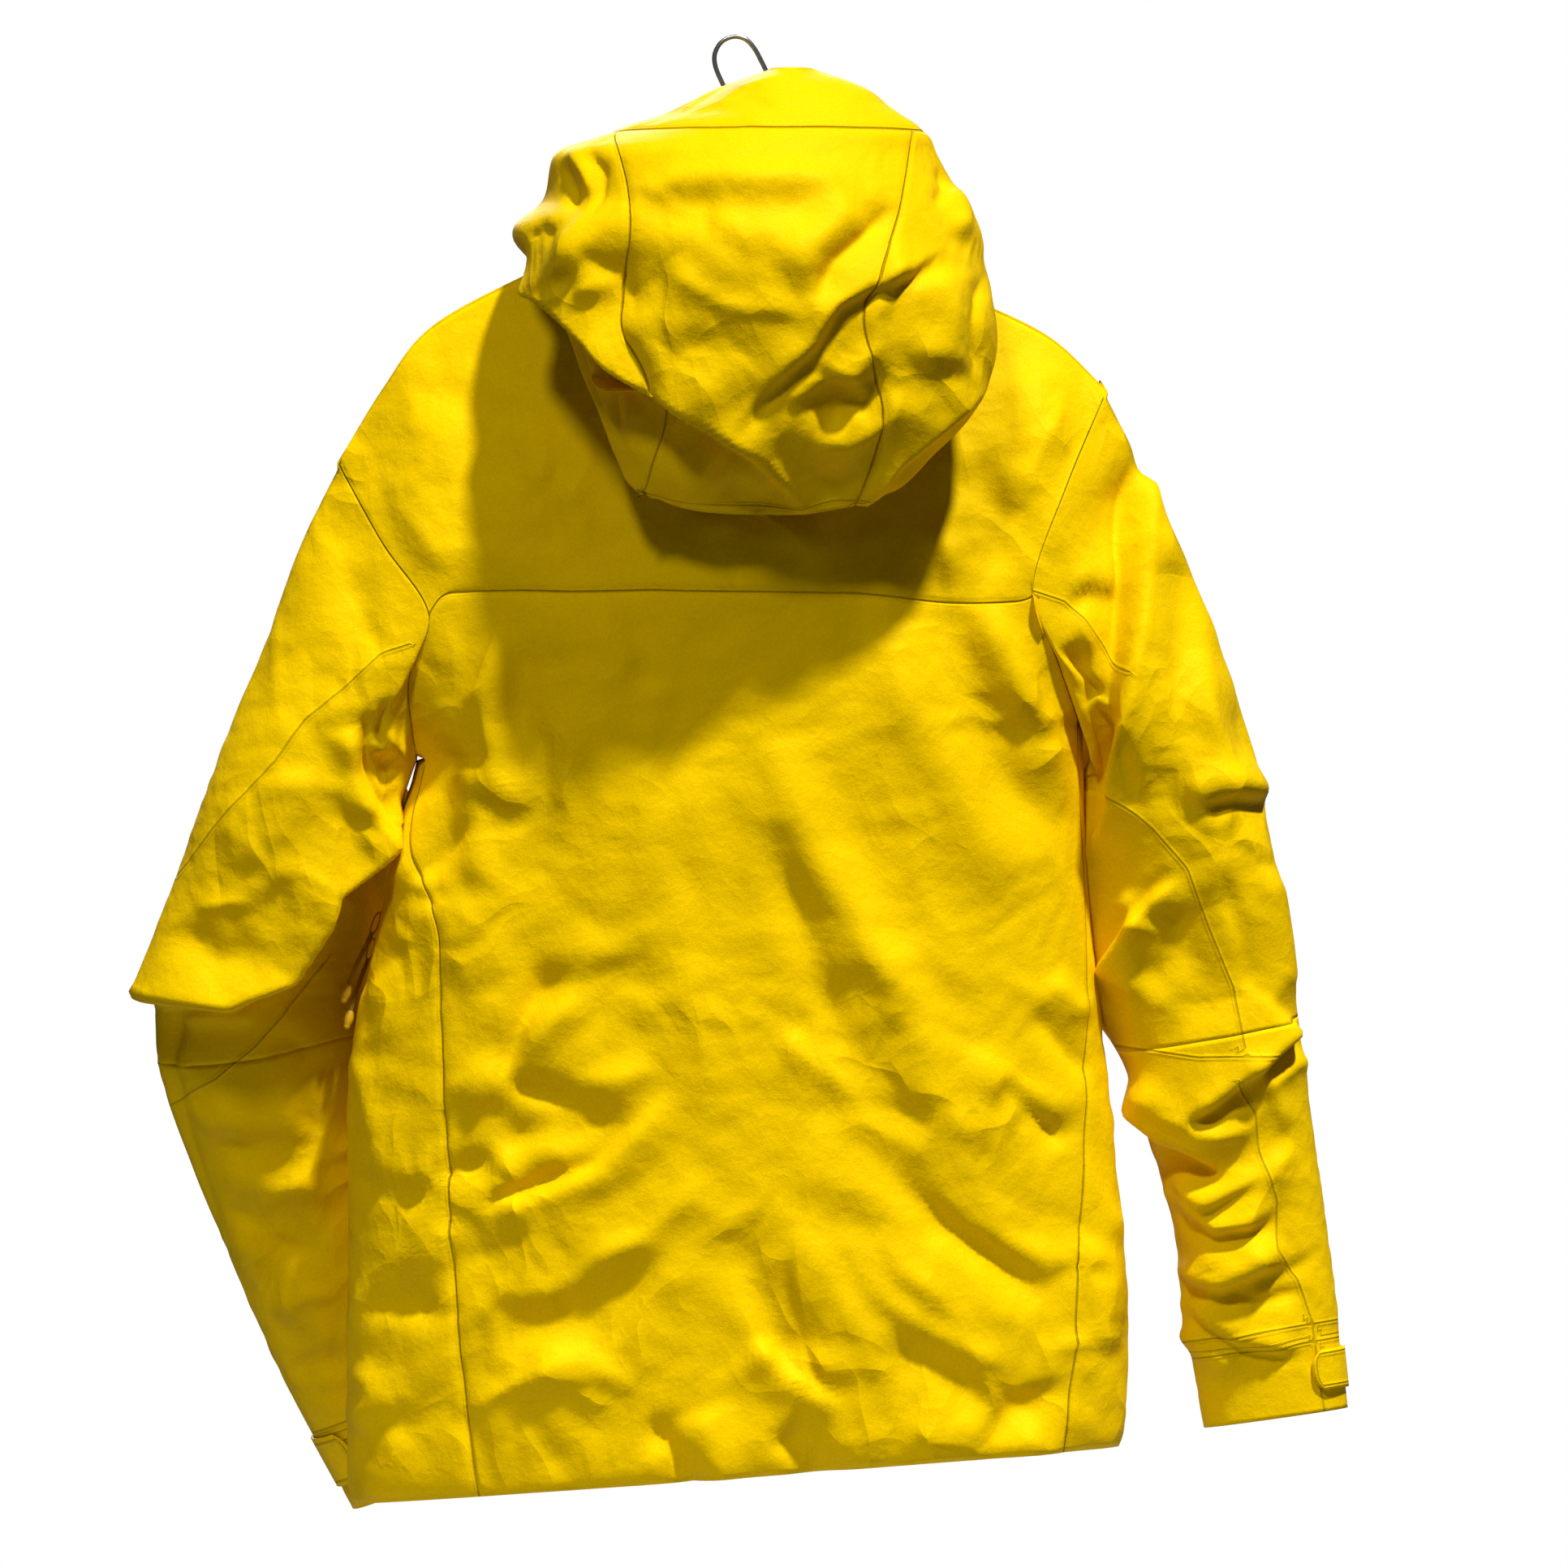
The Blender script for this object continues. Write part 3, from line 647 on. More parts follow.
def folds_at(x, z, group):
    F = {"torso": BACK, "left": LSLV, "right": RSLV, "hood": HOODF}[group]
    D = fold_field(x, z, F) * {"torso": 1.2, "left": 1.1, "right": 1.2, "hood": 1.05}[group]; SX, SZ = np.zeros_like(D), np.zeros_like(D)
    for kind, pts, w, h, *rest in F:
        if kind not in "ls": continue
        o = rest[0]; P = np.stack([X2(pts), Z2(pts)], 1); side = np.array(o["side"], float); sx, sz = X2(side), Z2(side)
        c = P.mean(0); e = P[-1] - P[0]; nrm = np.array([-e[1], e[0]]) / np.hypot(*e)
        if np.dot(nrm, [sx - c[0], sz - c[1]]) > 0: nrm = -nrm
        f = fold_field(x, z, [("r", pts, w * 0.32, 1.0, {"fa": o.get("fa", .25), "fb": o.get("fb", .25)})])
        sh = o.get("over", 0.3 * h); sh = min(sh, 2.6); SX += nrm[0] * sh * f; SZ += nrm[1] * sh * f
    return D, SX, SZ

# ---------------------------------------------------------------- materials
def lin(c): return tuple((v / 255 / 12.92) if v / 255 <= 0.04045 else ((v / 255 + 0.055) / 1.055) ** 2.4 for v in c)
def material(name, rgb, rough=0.6, metal=0.0, grain=900, grain_h=0.00012, crease=0.0, sheen=0.0, seam=False, vary=0.06, spec=0.4, coat=0.0, weave=None, tint=None, facet=0.0):
    m = bpy.data.materials.new(name); m.use_nodes = True; nt = m.node_tree; L = nt.links; nd = nt.nodes
    b = nd["Principled BSDF"]; b.inputs["Roughness"].default_value = rough; b.inputs["Metallic"].default_value = metal
    b.inputs["Specular IOR Level"].default_value = spec; b.inputs["Sheen Weight"].default_value = sheen; b.inputs["Sheen Roughness"].default_value = 0.5; b.inputs["Coat Weight"].default_value = coat; b.inputs["Specular Tint"].default_value = (*lin(tint), 1) if tint else (1, 1, 1, 1); b.inputs["Sheen Tint"].default_value = (*lin(tint), 1) if tint else (1, 1, 1, 1)
    tc = nd.new("ShaderNodeTexCoord")
    def noise(scale, detail=3.0):
        n = nd.new("ShaderNodeTexNoise"); n.inputs["Scale"].default_value = scale; n.inputs["Detail"].default_value = detail; L.new(tc.outputs["Object"], n.inputs["Vector"]); return n
    big = noise(9, 4); mix = nd.new("ShaderNodeMix"); mix.data_type = "RGBA"; c = lin(rgb)
    mix.inputs[6].default_value = (*[v * (1 - vary) for v in c], 1); mix.inputs[7].default_value = (*[min(1, v * (1 + vary)) for v in c], 1); L.new(big.outputs["Fac"], mix.inputs[0]); col = mix.outputs[2]
    gr = noise(grain, 2); bm = nd.new("ShaderNodeBump"); bm.inputs["Distance"].default_value = grain_h; bm.inputs["Strength"].default_value = 1.0; L.new(gr.outputs["Fac"], bm.inputs["Height"]); last = bm
    # fine grain in the colour too, as a plain weave reads at a distance
    g2 = noise(grain * 0.8, 1); mr = nd.new("ShaderNodeMapRange"); mr.inputs[1].default_value = 0.3; mr.inputs[2].default_value = 0.7; mr.inputs[3].default_value = 0.93; mr.inputs[4].default_value = 1.05; L.new(g2.outputs["Fac"], mr.inputs[0])
    mu = nd.new("ShaderNodeVectorMath"); mu.operation = "SCALE"; L.new(col, mu.inputs[0]); L.new(mr.outputs[0], mu.inputs["Scale"]); col = mu.outputs[0]
    if crease:
        for sc, dist in ((38, crease), (95, crease * 0.35)):
            n = noise(sc, 3); a = nd.new("ShaderNodeMath"); a.operation = "SUBTRACT"; a.inputs[1].default_value = 0.5; L.new(n.outputs["Fac"], a.inputs[0])
            ab = nd.new("ShaderNodeMath"); ab.operation = "ABSOLUTE"; L.new(a.outputs[0], ab.inputs[0])
            q = nd.new("ShaderNodeBump"); q.invert = True; q.inputs["Distance"].default_value = dist; L.new(ab.outputs[0], q.inputs["Height"]); L.new(last.outputs[0], q.inputs["Normal"]); last = q
    if facet:
        mp = nd.new("ShaderNodeMapping"); mp.inputs["Rotation"].default_value = (0.2, 0.65, 0.3); mp.inputs["Scale"].default_value = (1.0, 1.0, 0.55); L.new(tc.outputs["Object"], mp.inputs["Vector"])
        wv = noise(7, 2); ad = nd.new("ShaderNodeMix"); ad.data_type = "VECTOR"; ad.inputs[0].default_value = 0.12; L.new(mp.outputs[0], ad.inputs[4]); L.new(wv.outputs["Color"], ad.inputs[5])
        for sc, dist in ((11.0, facet), (24.0, facet * 0.3)):
            vo = nd.new("ShaderNodeTexVoronoi"); vo.feature = "DISTANCE_TO_EDGE"; vo.inputs["Scale"].default_value = sc; L.new(ad.outputs[1], vo.inputs["Vector"])
            cl = nd.new("ShaderNodeMapRange"); cl.interpolation_type = "SMOOTHERSTEP"; cl.inputs[1].default_value = -0.05; cl.inputs[2].default_value = 0.42; L.new(vo.outputs["Distance"], cl.inputs[0])
            mk = noise(6.5, 1); mr2 = nd.new("ShaderNodeMapRange"); mr2.inputs[1].default_value = 0.42; mr2.inputs[2].default_value = 0.62; L.new(mk.outputs["Fac"], mr2.inputs[0])
            mm_ = nd.new("ShaderNodeMath"); mm_.operation = "MULTIPLY"; L.new(cl.outputs[0], mm_.inputs[0]); L.new(mr2.outputs[0], mm_.inputs[1])
            q = nd.new("ShaderNodeBump"); q.inputs["Distance"].default_value = dist; L.new(mm_.outputs[0], q.inputs["Height"]); L.new(last.outputs[0], q.inputs["Normal"]); last = q
    if weave:
        for ax in ("X", "Z"):
            w = nd.new("ShaderNodeTexWave"); w.bands_direction = ax; w.inputs["Scale"].default_value = weave; w.inputs["Distortion"].default_value = 1.0; L.new(tc.outputs["Object"], w.inputs["Vector"])
            q = nd.new("ShaderNodeBump"); q.inputs["Distance"].default_value = 0.0004; L.new(w.outputs["Fac"], q.inputs["Height"]); L.new(last.outputs[0], q.inputs["Normal"]); last = q
    if seam:
        at = nd.new("ShaderNodeAttribute"); at.attribute_name = "seam"; a2 = nd.new("ShaderNodeAttribute"); a2.attribute_name = "seamd"
        ab = nd.new("ShaderNodeMath"); ab.operation = "ABSOLUTE"; L.new(at.outputs["Fac"], ab.inputs[0])
        g = nd.new("ShaderNodeMapRange"); g.inputs[1].default_value = 4.0; g.inputs[2].default_value = 6.0; g.inputs[3].default_value = 1.0; g.inputs[4].default_value = 0.0; L.new(a2.outputs["Fac"], g.inputs[0])
        r = nd.new("ShaderNodeMapRange"); r.interpolation_type = "SMOOTHSTEP"; r.inputs[1].default_value = 0.25; r.inputs[2].default_value = 1.15; r.inputs[3].default_value = 1.0; r.inputs[4].default_value = 0.0; L.new(ab.outputs[0], r.inputs[0])
        mm = nd.new("ShaderNodeMath"); mm.operation = "MULTIPLY"; L.new(g.outputs[0], mm.inputs[0]); L.new(r.outputs[0], mm.inputs[1])
        f = nd.new("ShaderNodeMapRange"); f.inputs[3].default_value = 1.0; f.inputs[4].default_value = 0.62; L.new(mm.outputs[0], f.inputs[0])
        m2 = nd.new("ShaderNodeVectorMath"); m2.operation = "SCALE"; L.new(col, m2.inputs[0]); L.new(f.outputs[0], m2.inputs["Scale"]); col = m2.outputs[0]
        st = nd.new("ShaderNodeMapRange"); st.interpolation_type = "SMOOTHSTEP"; st.inputs[1].default_value = 0.6; st.inputs[2].default_value = 3.0; st.inputs[3].default_value = 1.0; st.inputs[4].default_value = 0.0; L.new(ab.outputs[0], st.inputs[0])
        m3 = nd.new("ShaderNodeMath"); m3.operation = "MULTIPLY"; L.new(g.outputs[0], m3.inputs[0]); L.new(st.outputs[0], m3.inputs[1])
        m4 = nd.new("ShaderNodeMath"); m4.operation = "SUBTRACT"; L.new(m3.outputs[0], m4.inputs[0]); L.new(mm.outputs[0], m4.inputs[1])
        q = nd.new("ShaderNodeBump"); q.inputs["Distance"].default_value = 0.0004; L.new(m4.outputs[0], q.inputs["Height"]); L.new(last.outputs[0], q.inputs["Normal"]); last = q
    L.new(col, b.inputs["Base Color"]); L.new(last.outputs[0], b.inputs["Normal"])
    return m
SHELL = material("shell_woven", (240, 196, 0), 0.55, grain=1100, grain_h=0.00018, crease=0.0016, sheen=0.04, seam=True, vary=0.035, spec=0.18, tint=(255, 222, 20), facet=0.007)
LINING = material("lining_tricot", (196, 197, 199), 0.8, grain=1500, crease=0.001, sheen=0.1, weave=260)
WEB = material("webbing_dark", (52, 50, 46), 0.75, weave=420)
ZIPM = material("zip_yellow", (214, 168, 8), 0.45, grain=1500, coat=0.1)
PULLM = material("pull_cord", (226, 182, 10), 0.6, weave=500)
LOCK = material("lock_plastic", (40, 40, 42), 0.42, grain=700, grain_h=0.00005)
HANG = material("hanger_plastic", (38, 38, 40), 0.38, grain=400, grain_h=0.00008)
CHROME = material("hook_steel", (190, 192, 196), 0.28, metal=1.0, grain=300, grain_h=0.00001, vary=0.03)
LABEL = material("label_woven", (60, 60, 60), 0.8, weave=600)
# ---------------------------------------------------------------- fabric panels
G = 4.2
def n_of(length): return max(4, int(round(length / G)))
TC = (5, 0, 0)
def lower(a, b): return lambda u, v: body(lerp(a(v), b(v), u), v)
hemline = []
panels = []
def add(*a, **k): p = Panel(*a, **k); panels.append(p); return p
def back_low(u, s):
    """Back panel from hem to yoke seam: s 0 hem, 1 yoke seam."""
    if s < 0.76:
        v = s / 0.76; return body(lerp(seamL(v), seamR(v), u), v)
    t = (s - 0.76) / 0.24
    # u of the panel runs between the armholes here
    return back(u, lerp(1, yokeV(u), t))
def back_yoke(u, s): return back(u, lerp(yokeV(u), 2, s))
add("shell_back_panel", back_low, params(0, 1, n_of(430)), np.concatenate([params(0, 0.76, n_of(485)), params(0.76, 1, n_of(105))[1:]]), "torso", TC, hem=hemline, tuck="lrt", roll=5.0, arm=("lr", 0.64, 0.76))
add("shell_back_yoke", back_yoke, params(0, 1, n_of(500)), params(0, 1, n_of(170)), "torso", TC, fade="t", arm=("lr", -1, 0))
add("shell_left_side_panel", lower(frontL, seamL), params(0, 1, n_of(130)), params(0, 1, n_of(485)), "torso", TC, hem=hemline, tuck="lrt", roll=5.0, arm=("lrt", 0.84, 1.0))
add("shell_right_side_panel", lower(seamR, frontR), params(0, 1, n_of(110)), params(0, 1, n_of(485)), "torso", TC, hem=hemline, tuck="lrt", roll=5.0, arm=("lrt", 0.84, 1.0))
FV = np.concatenate([params(0, 1, n_of(485)), params(1, 2, n_of(290))[1:]])
for s, nm in ((-1, "left"), (1, "right")):
    add(f"shell_{nm}_front_panel", lambda u, v, s=s: front(s, u, v), params(0, 1, n_of(240)), FV, "torso", TC, hem=hemline + [("r", 9)], tuck="lt", fade="t", roll=5.0, arm=("l", 0.84, 1.0))
def bump(t, a, b, c, d): return smooth((t - a) / max(1e-6, b - a)) * (1 - smooth((t - c) / max(1e-6, d - c)))
def sleevev(s, a, t):
    """Sleeve with the loose cloth on its inner side, which fills the gap beside the body."""
    p = sleeve(s, a, t)
    if s < 0:
        k = math.exp(-((a - 150) / 40) ** 2); p = p + V([lerp(36, 54, smooth((t - 0.25) / 0.2)) * k * bump(t, .05, .24, .56, .72), 10 * k * bump(t, .1, .4, .56, .7), 0])
    else:
        k = math.exp(-((a - 155) / 42) ** 2); p = p + V([-32 * k * bump(t, .04, .2, .50, .6), 6 * k * bump(t, .1, .3, .54, .6), 0])
    return p
for s, nm, tm in ((-1, "left", 0.565), (1, "right", 0.575)):
    us = np.linspace(0, 360, 104, endpoint=False)
    SE = (SEAM_LS if s < 0 else SEAM_RS,)
    add(f"{nm}_sleeve_upper_cloth", lambda a, t, s=s: sleevev(s, a, t), us, params(0.0, tm, 120), nm, wrap=True, seams=SE, tuck="a")
    add(f"{nm}_sleeve_lower_cloth", lambda a, t, s=s: sleevev(s, a, t), us, params(tm, 1, 92), nm, wrap=True, seams=SE, tuck="", hem=[("t", 48), ("t", 60)])
HC = (15, -90, 0)
G = 3.2
HZ = params(-190, 70.5, n_of(262))
def hsl(z): return hoodv_phi(HOOD_SEAM_L, z)
def hsr(z): return hoodv_phi(HOOD_SEAM_R, z)
add("hood_left_cloth", lambda u, z: hoodv(lerp(-hoodEnd(z) + 3.5 * smooth((z + 60) / 60) + 3, hsl(z), u), z), params(0, 1, n_of(200)), HZ, "hood", HC, tuck="rt", hem=[("b", 6)])
add("hood_center_cloth", lambda u, z: hoodv(lerp(hsl(z), hsr(z), u), z), params(0, 1, n_of(200)), HZ, "hood", HC, tuck="lrt", hem=[("b", 6)])
add("hood_right_cloth", lambda u, z: hoodv(lerp(hsr(z), hoodEnd(z) - 3, u), z), params(0, 1, n_of(180)), HZ, "hood", HC, tuck="lt", hem=[("b", 6)])
add("hood_brim_cloth", lambda u, z: hoodv(lerp(-hoodEnd(z) + 6.5, hoodEnd(z) - 3, u), z), params(0, 1, n_of(260)), np.concatenate([params(71, 108, n_of(46)), [110, 111.5, 112.6, 113.3]]), "hood", HC, tuck="b", hem=[("l", 12), ("r", 12)])
print("panels", len(panels), sum(p.P.shape[0] * p.P.shape[1] for p in panels))

# ---------------------------------------------------------------- cloth
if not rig.quick():
    import time as _t
    t0 = _t.time(); temps = [(p, p.temp()) for p in panels if p.sim]
    sc = bpy.context.scene; sc.frame_start, sc.frame_end = 1, 14
    for f in range(1, 15): sc.frame_set(f)
    dg = bpy.context.evaluated_depsgraph_get()
    for p, ob in temps:
        ev = ob.evaluated_get(dg); co = np.empty(len(ev.data.vertices) * 3, np.float32); ev.data.vertices.foreach_get("co", co)
        before = p.P.copy(); p.settle(co.astype(float)); print("settled", p.name, round(float(np.abs(p.P - before).mean()), 3), round(float(np.abs(p.P - before).max()), 2))
    for p, ob in temps:
        me = ob.data; bpy.data.objects.remove(ob); bpy.data.meshes.remove(me)
    sc.frame_set(1); print("cloth took", round(_t.time() - t0, 1))
for p in panels:
    Q = soften(p.P, p.wrap); Q[0] = p.P[0]; Q[-1] = p.P[-1]
    if not p.wrap: Q[:, 0] = p.P[:, 0]; Q[:, -1] = p.P[:, -1]
    p.P = Q
made = {}
def flange(p, P, N, S):
    """A narrow seam allowance folded in behind every stitched edge."""
    def un(a): return a / np.maximum(np.linalg.norm(a, axis=-1, keepdims=True), 1e-9)
    if "b" in p.tuck or "a" in p.tuck:
        k = (7, 4.5) if "a" in p.tuck else (2.2, 3.2); r = P[:1] + un(P[:1] - P[1:2]) * k[0] - N[:1] * k[1]; P = np.concatenate([r, P]); N = np.concatenate([N[:1], N]); S = np.concatenate([S[:1] * 0 + 40, S])
    if "t" in p.tuck and not p.faded: r = P[-1:] + un(P[-1:] - P[-2:-1]) * 2.2 - N[-1:] * 3.2; P = np.concatenate([P, r]); N = np.concatenate([N, N[-1:]]); S = np.concatenate([S, S[-1:] * 0 + 40])
    if not p.wrap and "l" in p.tuck: r = P[:, :1] + un(P[:, :1] - P[:, 1:2]) * 2.2 - N[:, :1] * 3.2; P = np.concatenate([r, P], 1); N = np.concatenate([N[:, :1], N], 1); S = np.concatenate([S[:, :1] * 0 + 40, S], 1)
    if not p.wrap and "r" in p.tuck: r = P[:, -1:] + un(P[:, -1:] - P[:, -2:-1]) * 2.2 - N[:, -1:] * 3.2; P = np.concatenate([P, r], 1); N = np.concatenate([N, N[:, -1:]], 1); S = np.concatenate([S, S[:, -1:] * 0 + 40], 1)
    return P, N, S
def finish_panel(p, mat=SHELL):
    N = normals(p.P, p.wrap, p.out)
    Pf, Nf, Sf = flange(p, p.P, N, p.seam)
    made[p.name] = shell_mesh(p.name, Pf, Nf, p.th, p.wrap, p.out < 0, Sf, mat); return made[p.name]
def finish_old(p, mat=SHELL):
    N = normals(p.P, p.wrap, p.out)
    made[p.name] = shell_mesh(p.name, p.P, N, p.th, p.wrap, p.out < 0, p.seam, mat); return made[p.name]
for p in panels: finish_panel(p)
def ride(name, bodyname, *nodes, sl="shell_fabric"):
    o = made[name] if isinstance(name, str) else name
    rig.ride(o, bodyname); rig.slot(o, sl)
    if nodes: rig.replaces(o, *nodes)
    return o
ride("shell_back_panel", "torso", "back_panel"); ride("shell_back_yoke", "torso", "back_yoke")
ride("shell_left_side_panel", "torso", "left_side_panel"); ride("shell_right_side_panel", "torso", "right_side_panel")
ride("shell_left_front_panel", "torso", "left_front_panel"); ride("shell_right_front_panel", "torso", "right_front_panel")
ride("hood_left_cloth", "hood", "hood_left_panel"); ride("hood_center_cloth", "hood", "hood_center_panel"); ride("hood_right_cloth", "hood", "hood_right_panel"); ride("hood_brim_cloth", "hood", "hood_brim")
def axis_pt(s, t):
    C = sleeveRow(s, t)[0]; return [C[0] / 1000, C[1] / 1000, (C[2] + OZ) / 1000]
for s, nm in ((-1, "left"), (1, "right")):
    up, lo = made[f"{nm}_sleeve_upper_cloth"], made[f"{nm}_sleeve_lower_cloth"]
    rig.blend(up, "torso", f"{nm}_upper_sleeve", axis_pt(s, 0.0), axis_pt(s, 0.24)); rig.blend(lo, f"{nm}_upper_sleeve", f"{nm}_forearm", axis_pt(s, 0.585), axis_pt(s, 0.66))
    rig.slot(up, "shell_fabric"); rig.slot(lo, "shell_fabric")
    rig.replaces(up, f"{nm}_sleeve_shoulder", f"{nm}_sleeve_upper"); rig.replaces(lo, f"{nm}_sleeve_elbow", f"{nm}_sleeve_forearm", f"{nm}_cuff")

# ---------------------------------------------------------------- linings
def lining(name, fn, us, vs, centre, off, group=None, sl="lining"):
    B = np.array([[fn(u, v) for u in us] for v in vs]); N = normals(B, False, 1.0); rad = B - np.array(centre, float); rad[..., 2] = 0
    out = 1.0 if (N * rad).sum() > 0 else -1.0; N = N * out
    D = np.zeros(B.shape[:2])
    if group:
        D = fold_field(B[..., 0], B[..., 2], {"torso": BACK, "hood": HOODF}[group]) * np.clip(-N[..., 1] / 0.4, 0, 1)
        D = np.minimum(D, 0) * 1.0
    P = B + N * (-off + D + 0.8 * crumple(B[..., 0] + 50, B[..., 2], 10, 0.8) - 1.0)[..., None]
    o = shell_mesh(name, P, normals(P, False, out), 0.6, False, out < 0, np.full(B.shape[:2], 40.0), LINING); made[name] = o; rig.slot(o, sl); return o
def lin_back(u, v):
    if v <= 1:
        k = smooth((v - 0.7) / 0.25); return body(lerp(lerp(frontL(v) + 2, PHI_BACK[0] + 16, k), lerp(frontR(v) - 2, PHI_BACK[1] - 16, k), u), v)
    m = 16 / 156 + 0.03 * smooth(v - 1); return back(lerp(m, 1 - m, u), v)
o = lining("lining_back_cloth", lin_back, params(0, 1, 90), params(0.03, 1.93, 130), TC, 10, "torso"); ride(o, "torso", "back_lining", sl="lining")
for s, nm in ((-1, "left"), (1, "right")):
    o = lining(f"lining_{nm}_front_cloth", lambda u, v, s=s: front(s, lerp(0.03 + 0.13 * smooth((v - 0.7) / 0.25), 0.93, u), v), params(0, 1, 44), params(0.03, 1.9, 110), TC, 10); ride(o, "torso", f"{nm}_front_lining", sl="lining")
def hl(u, z): 
    e = hoodEnd(z) - 2; return hoodv(lerp(-e, e, u), z)
o = lining("hood_lining_cloth", hl, params(0, 1, 90), params(-182, 104, 64), HC, 9, "hood"); ride(o, "hood", "hood_lining", sl="lining")
# neck panel between hood and collar
def npan(u, r):
    y, w, z = table(NECK_PANEL, r); a = lerp(-1, 1, u); return V([a * w, y - 26 * (1 - a * a) * math.exp(-((r - 2.4) / 2.2) ** 2) * 0 - 3 * (1 - a * a), z + 3 * (1 - a * a)])
try:
    lo_n, hi_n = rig.box("hood_neck_panel")
except Exception: pass
def npan2(u, r):
    row = table(NECK_PANEL, r); y, w, z = row[0], row[1], row[2]; a = lerp(-1, 1, u)
    return V([clamp(a, -1, 1) * w + 12, y, z])
B = np.array([[npan2(u, r) for u in params(0, 1, 50)] for r in params(0, 4.7, 50)])
N = normals(B, False, 1.0); 
if N[..., 2].mean() < 0: N = -N; fl = True
else: fl = False
Pn = B + N * (crumple(B[..., 0], B[..., 1] * 2, 0, 1.6))[..., None]
o = shell_mesh("hood_neck_cloth", Pn, N, 0.9, False, fl, np.full(B.shape[:2], 40.0), SHELL); made["hood_neck_cloth"] = o
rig.blend(o, "torso", "hood", [0, 0.03, -0.19], [0, -0.15, -0.24]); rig.slot(o, "shell_fabric"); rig.replaces(o, "hood_neck_panel")

# ---------------------------------------------------------------- collar
for s, nm in ((-1, "left"), (1, "right")):
    T = NECK_L if s < 0 else NECK_R; rows = []
    us = params(0, 1, 70)
    for u in us:
        p = table(T, u); a, b = table(T, max(0, u - .02)), table(T, min(1, u + .02)); d = norm(V([b[0] - a[0], b[1] - a[1], 0])); n = V([d[1], -d[0], 0])
        if np.dot(n[:2], p[:2] - V([0, 5])) < 0: n = -n
        ring = []
        for q in np.linspace(0, 2 * math.pi, 40, endpoint=False):
            c, sn = math.cos(q), math.sin(q); h = 36 + 33 * sgn(sn) * abs(sn) ** 0.45; w_ = 2.6 * sgn(c) * abs(c) ** 0.6 + 0.8 * math.sin(h / 7 + 9 * u) * (1 if c > 0 else .4)
            ring.append(p + n * w_ + V([0, 0, h]))
        rows.append(ring)
    P = np.array(rows); nv, nu = P.shape[:2]; F = grid_faces(nv, nu, True, False); n_ = nv * nu
    vs = np.vstack([to_row(P), to_row(P[0].mean(0)), to_row(P[-1].mean(0))])
    F += [[n_, (i + 1) % nu, i] for i in range(nu)] + [[n_ + 1, (nv - 1) * nu + i, (nv - 1) * nu + (i + 1) % nu] for i in range(nu)]
    hgt = P[..., 2] - np.array([table(T, u)[2] for u in us])[:, None]; seam = np.concatenate([(hgt - 58).reshape(-1), [40, 40]])
    o = make_mesh(f"{nm}_collar_cloth", vs, F, {"seam": seam}, SHELL)
    bm = bmesh.new(); bm.from_mesh(o.data); bmesh.ops.recalc_face_normals(bm, faces=bm.faces); bm.to_mesh(o.data); bm.free()
    ride(o, "torso", f"{nm}_collar")

# ---------------------------------------------------------------- cuff tabs
for s, nm in ((-1, "left"), (1, "right")):
    us, ts = params(300, 400, 34), params(0.935, 0.978, 12); rows = []
    for t in ts:
        C, hw, hd, d, wide, deep = sleeveRow(s, t); r = []
        for a in us:
            e = sleeve(s, a, t); n = norm(e - C - d * np.dot(e - C, d)); k = (a - 300) / 100; round_ = 1 - 0.22 * (abs((t - 0.9565) / 0.0215) ** 3) * smooth((0.16 - min(k, 1 - k)) / 0.16)
            r.append(sleeve(s, lerp(350, a, round_), t) + n * (3.4 + 0.5 * math.sin(k * 9)))
        rows.append(r)
    P = np.array(rows); N = normals(P, False, 1.0); C0 = sleeveRow(s, 0.955)[0]; out = 1.0 if (N * (P - C0)).sum() > 0 else -1.0
    ed = np.minimum(np.arange(12)[:, None] * 2.6, 99) + np.zeros((12, 34)); seam = np.minimum(np.minimum(ed, ed[::-1]), np.minimum(np.arange(34)[None, :] * 2.6, np.arange(34)[None, ::-1] * 2.6)) - 3.0
    o = shell_mesh(f"{nm}_cuff_tab_cloth", P, N * out, 1.8, False, out < 0, seam, SHELL); ride(o, f"{nm}_tab", f"{nm}_cuff_tab", sl="tab_fabric")

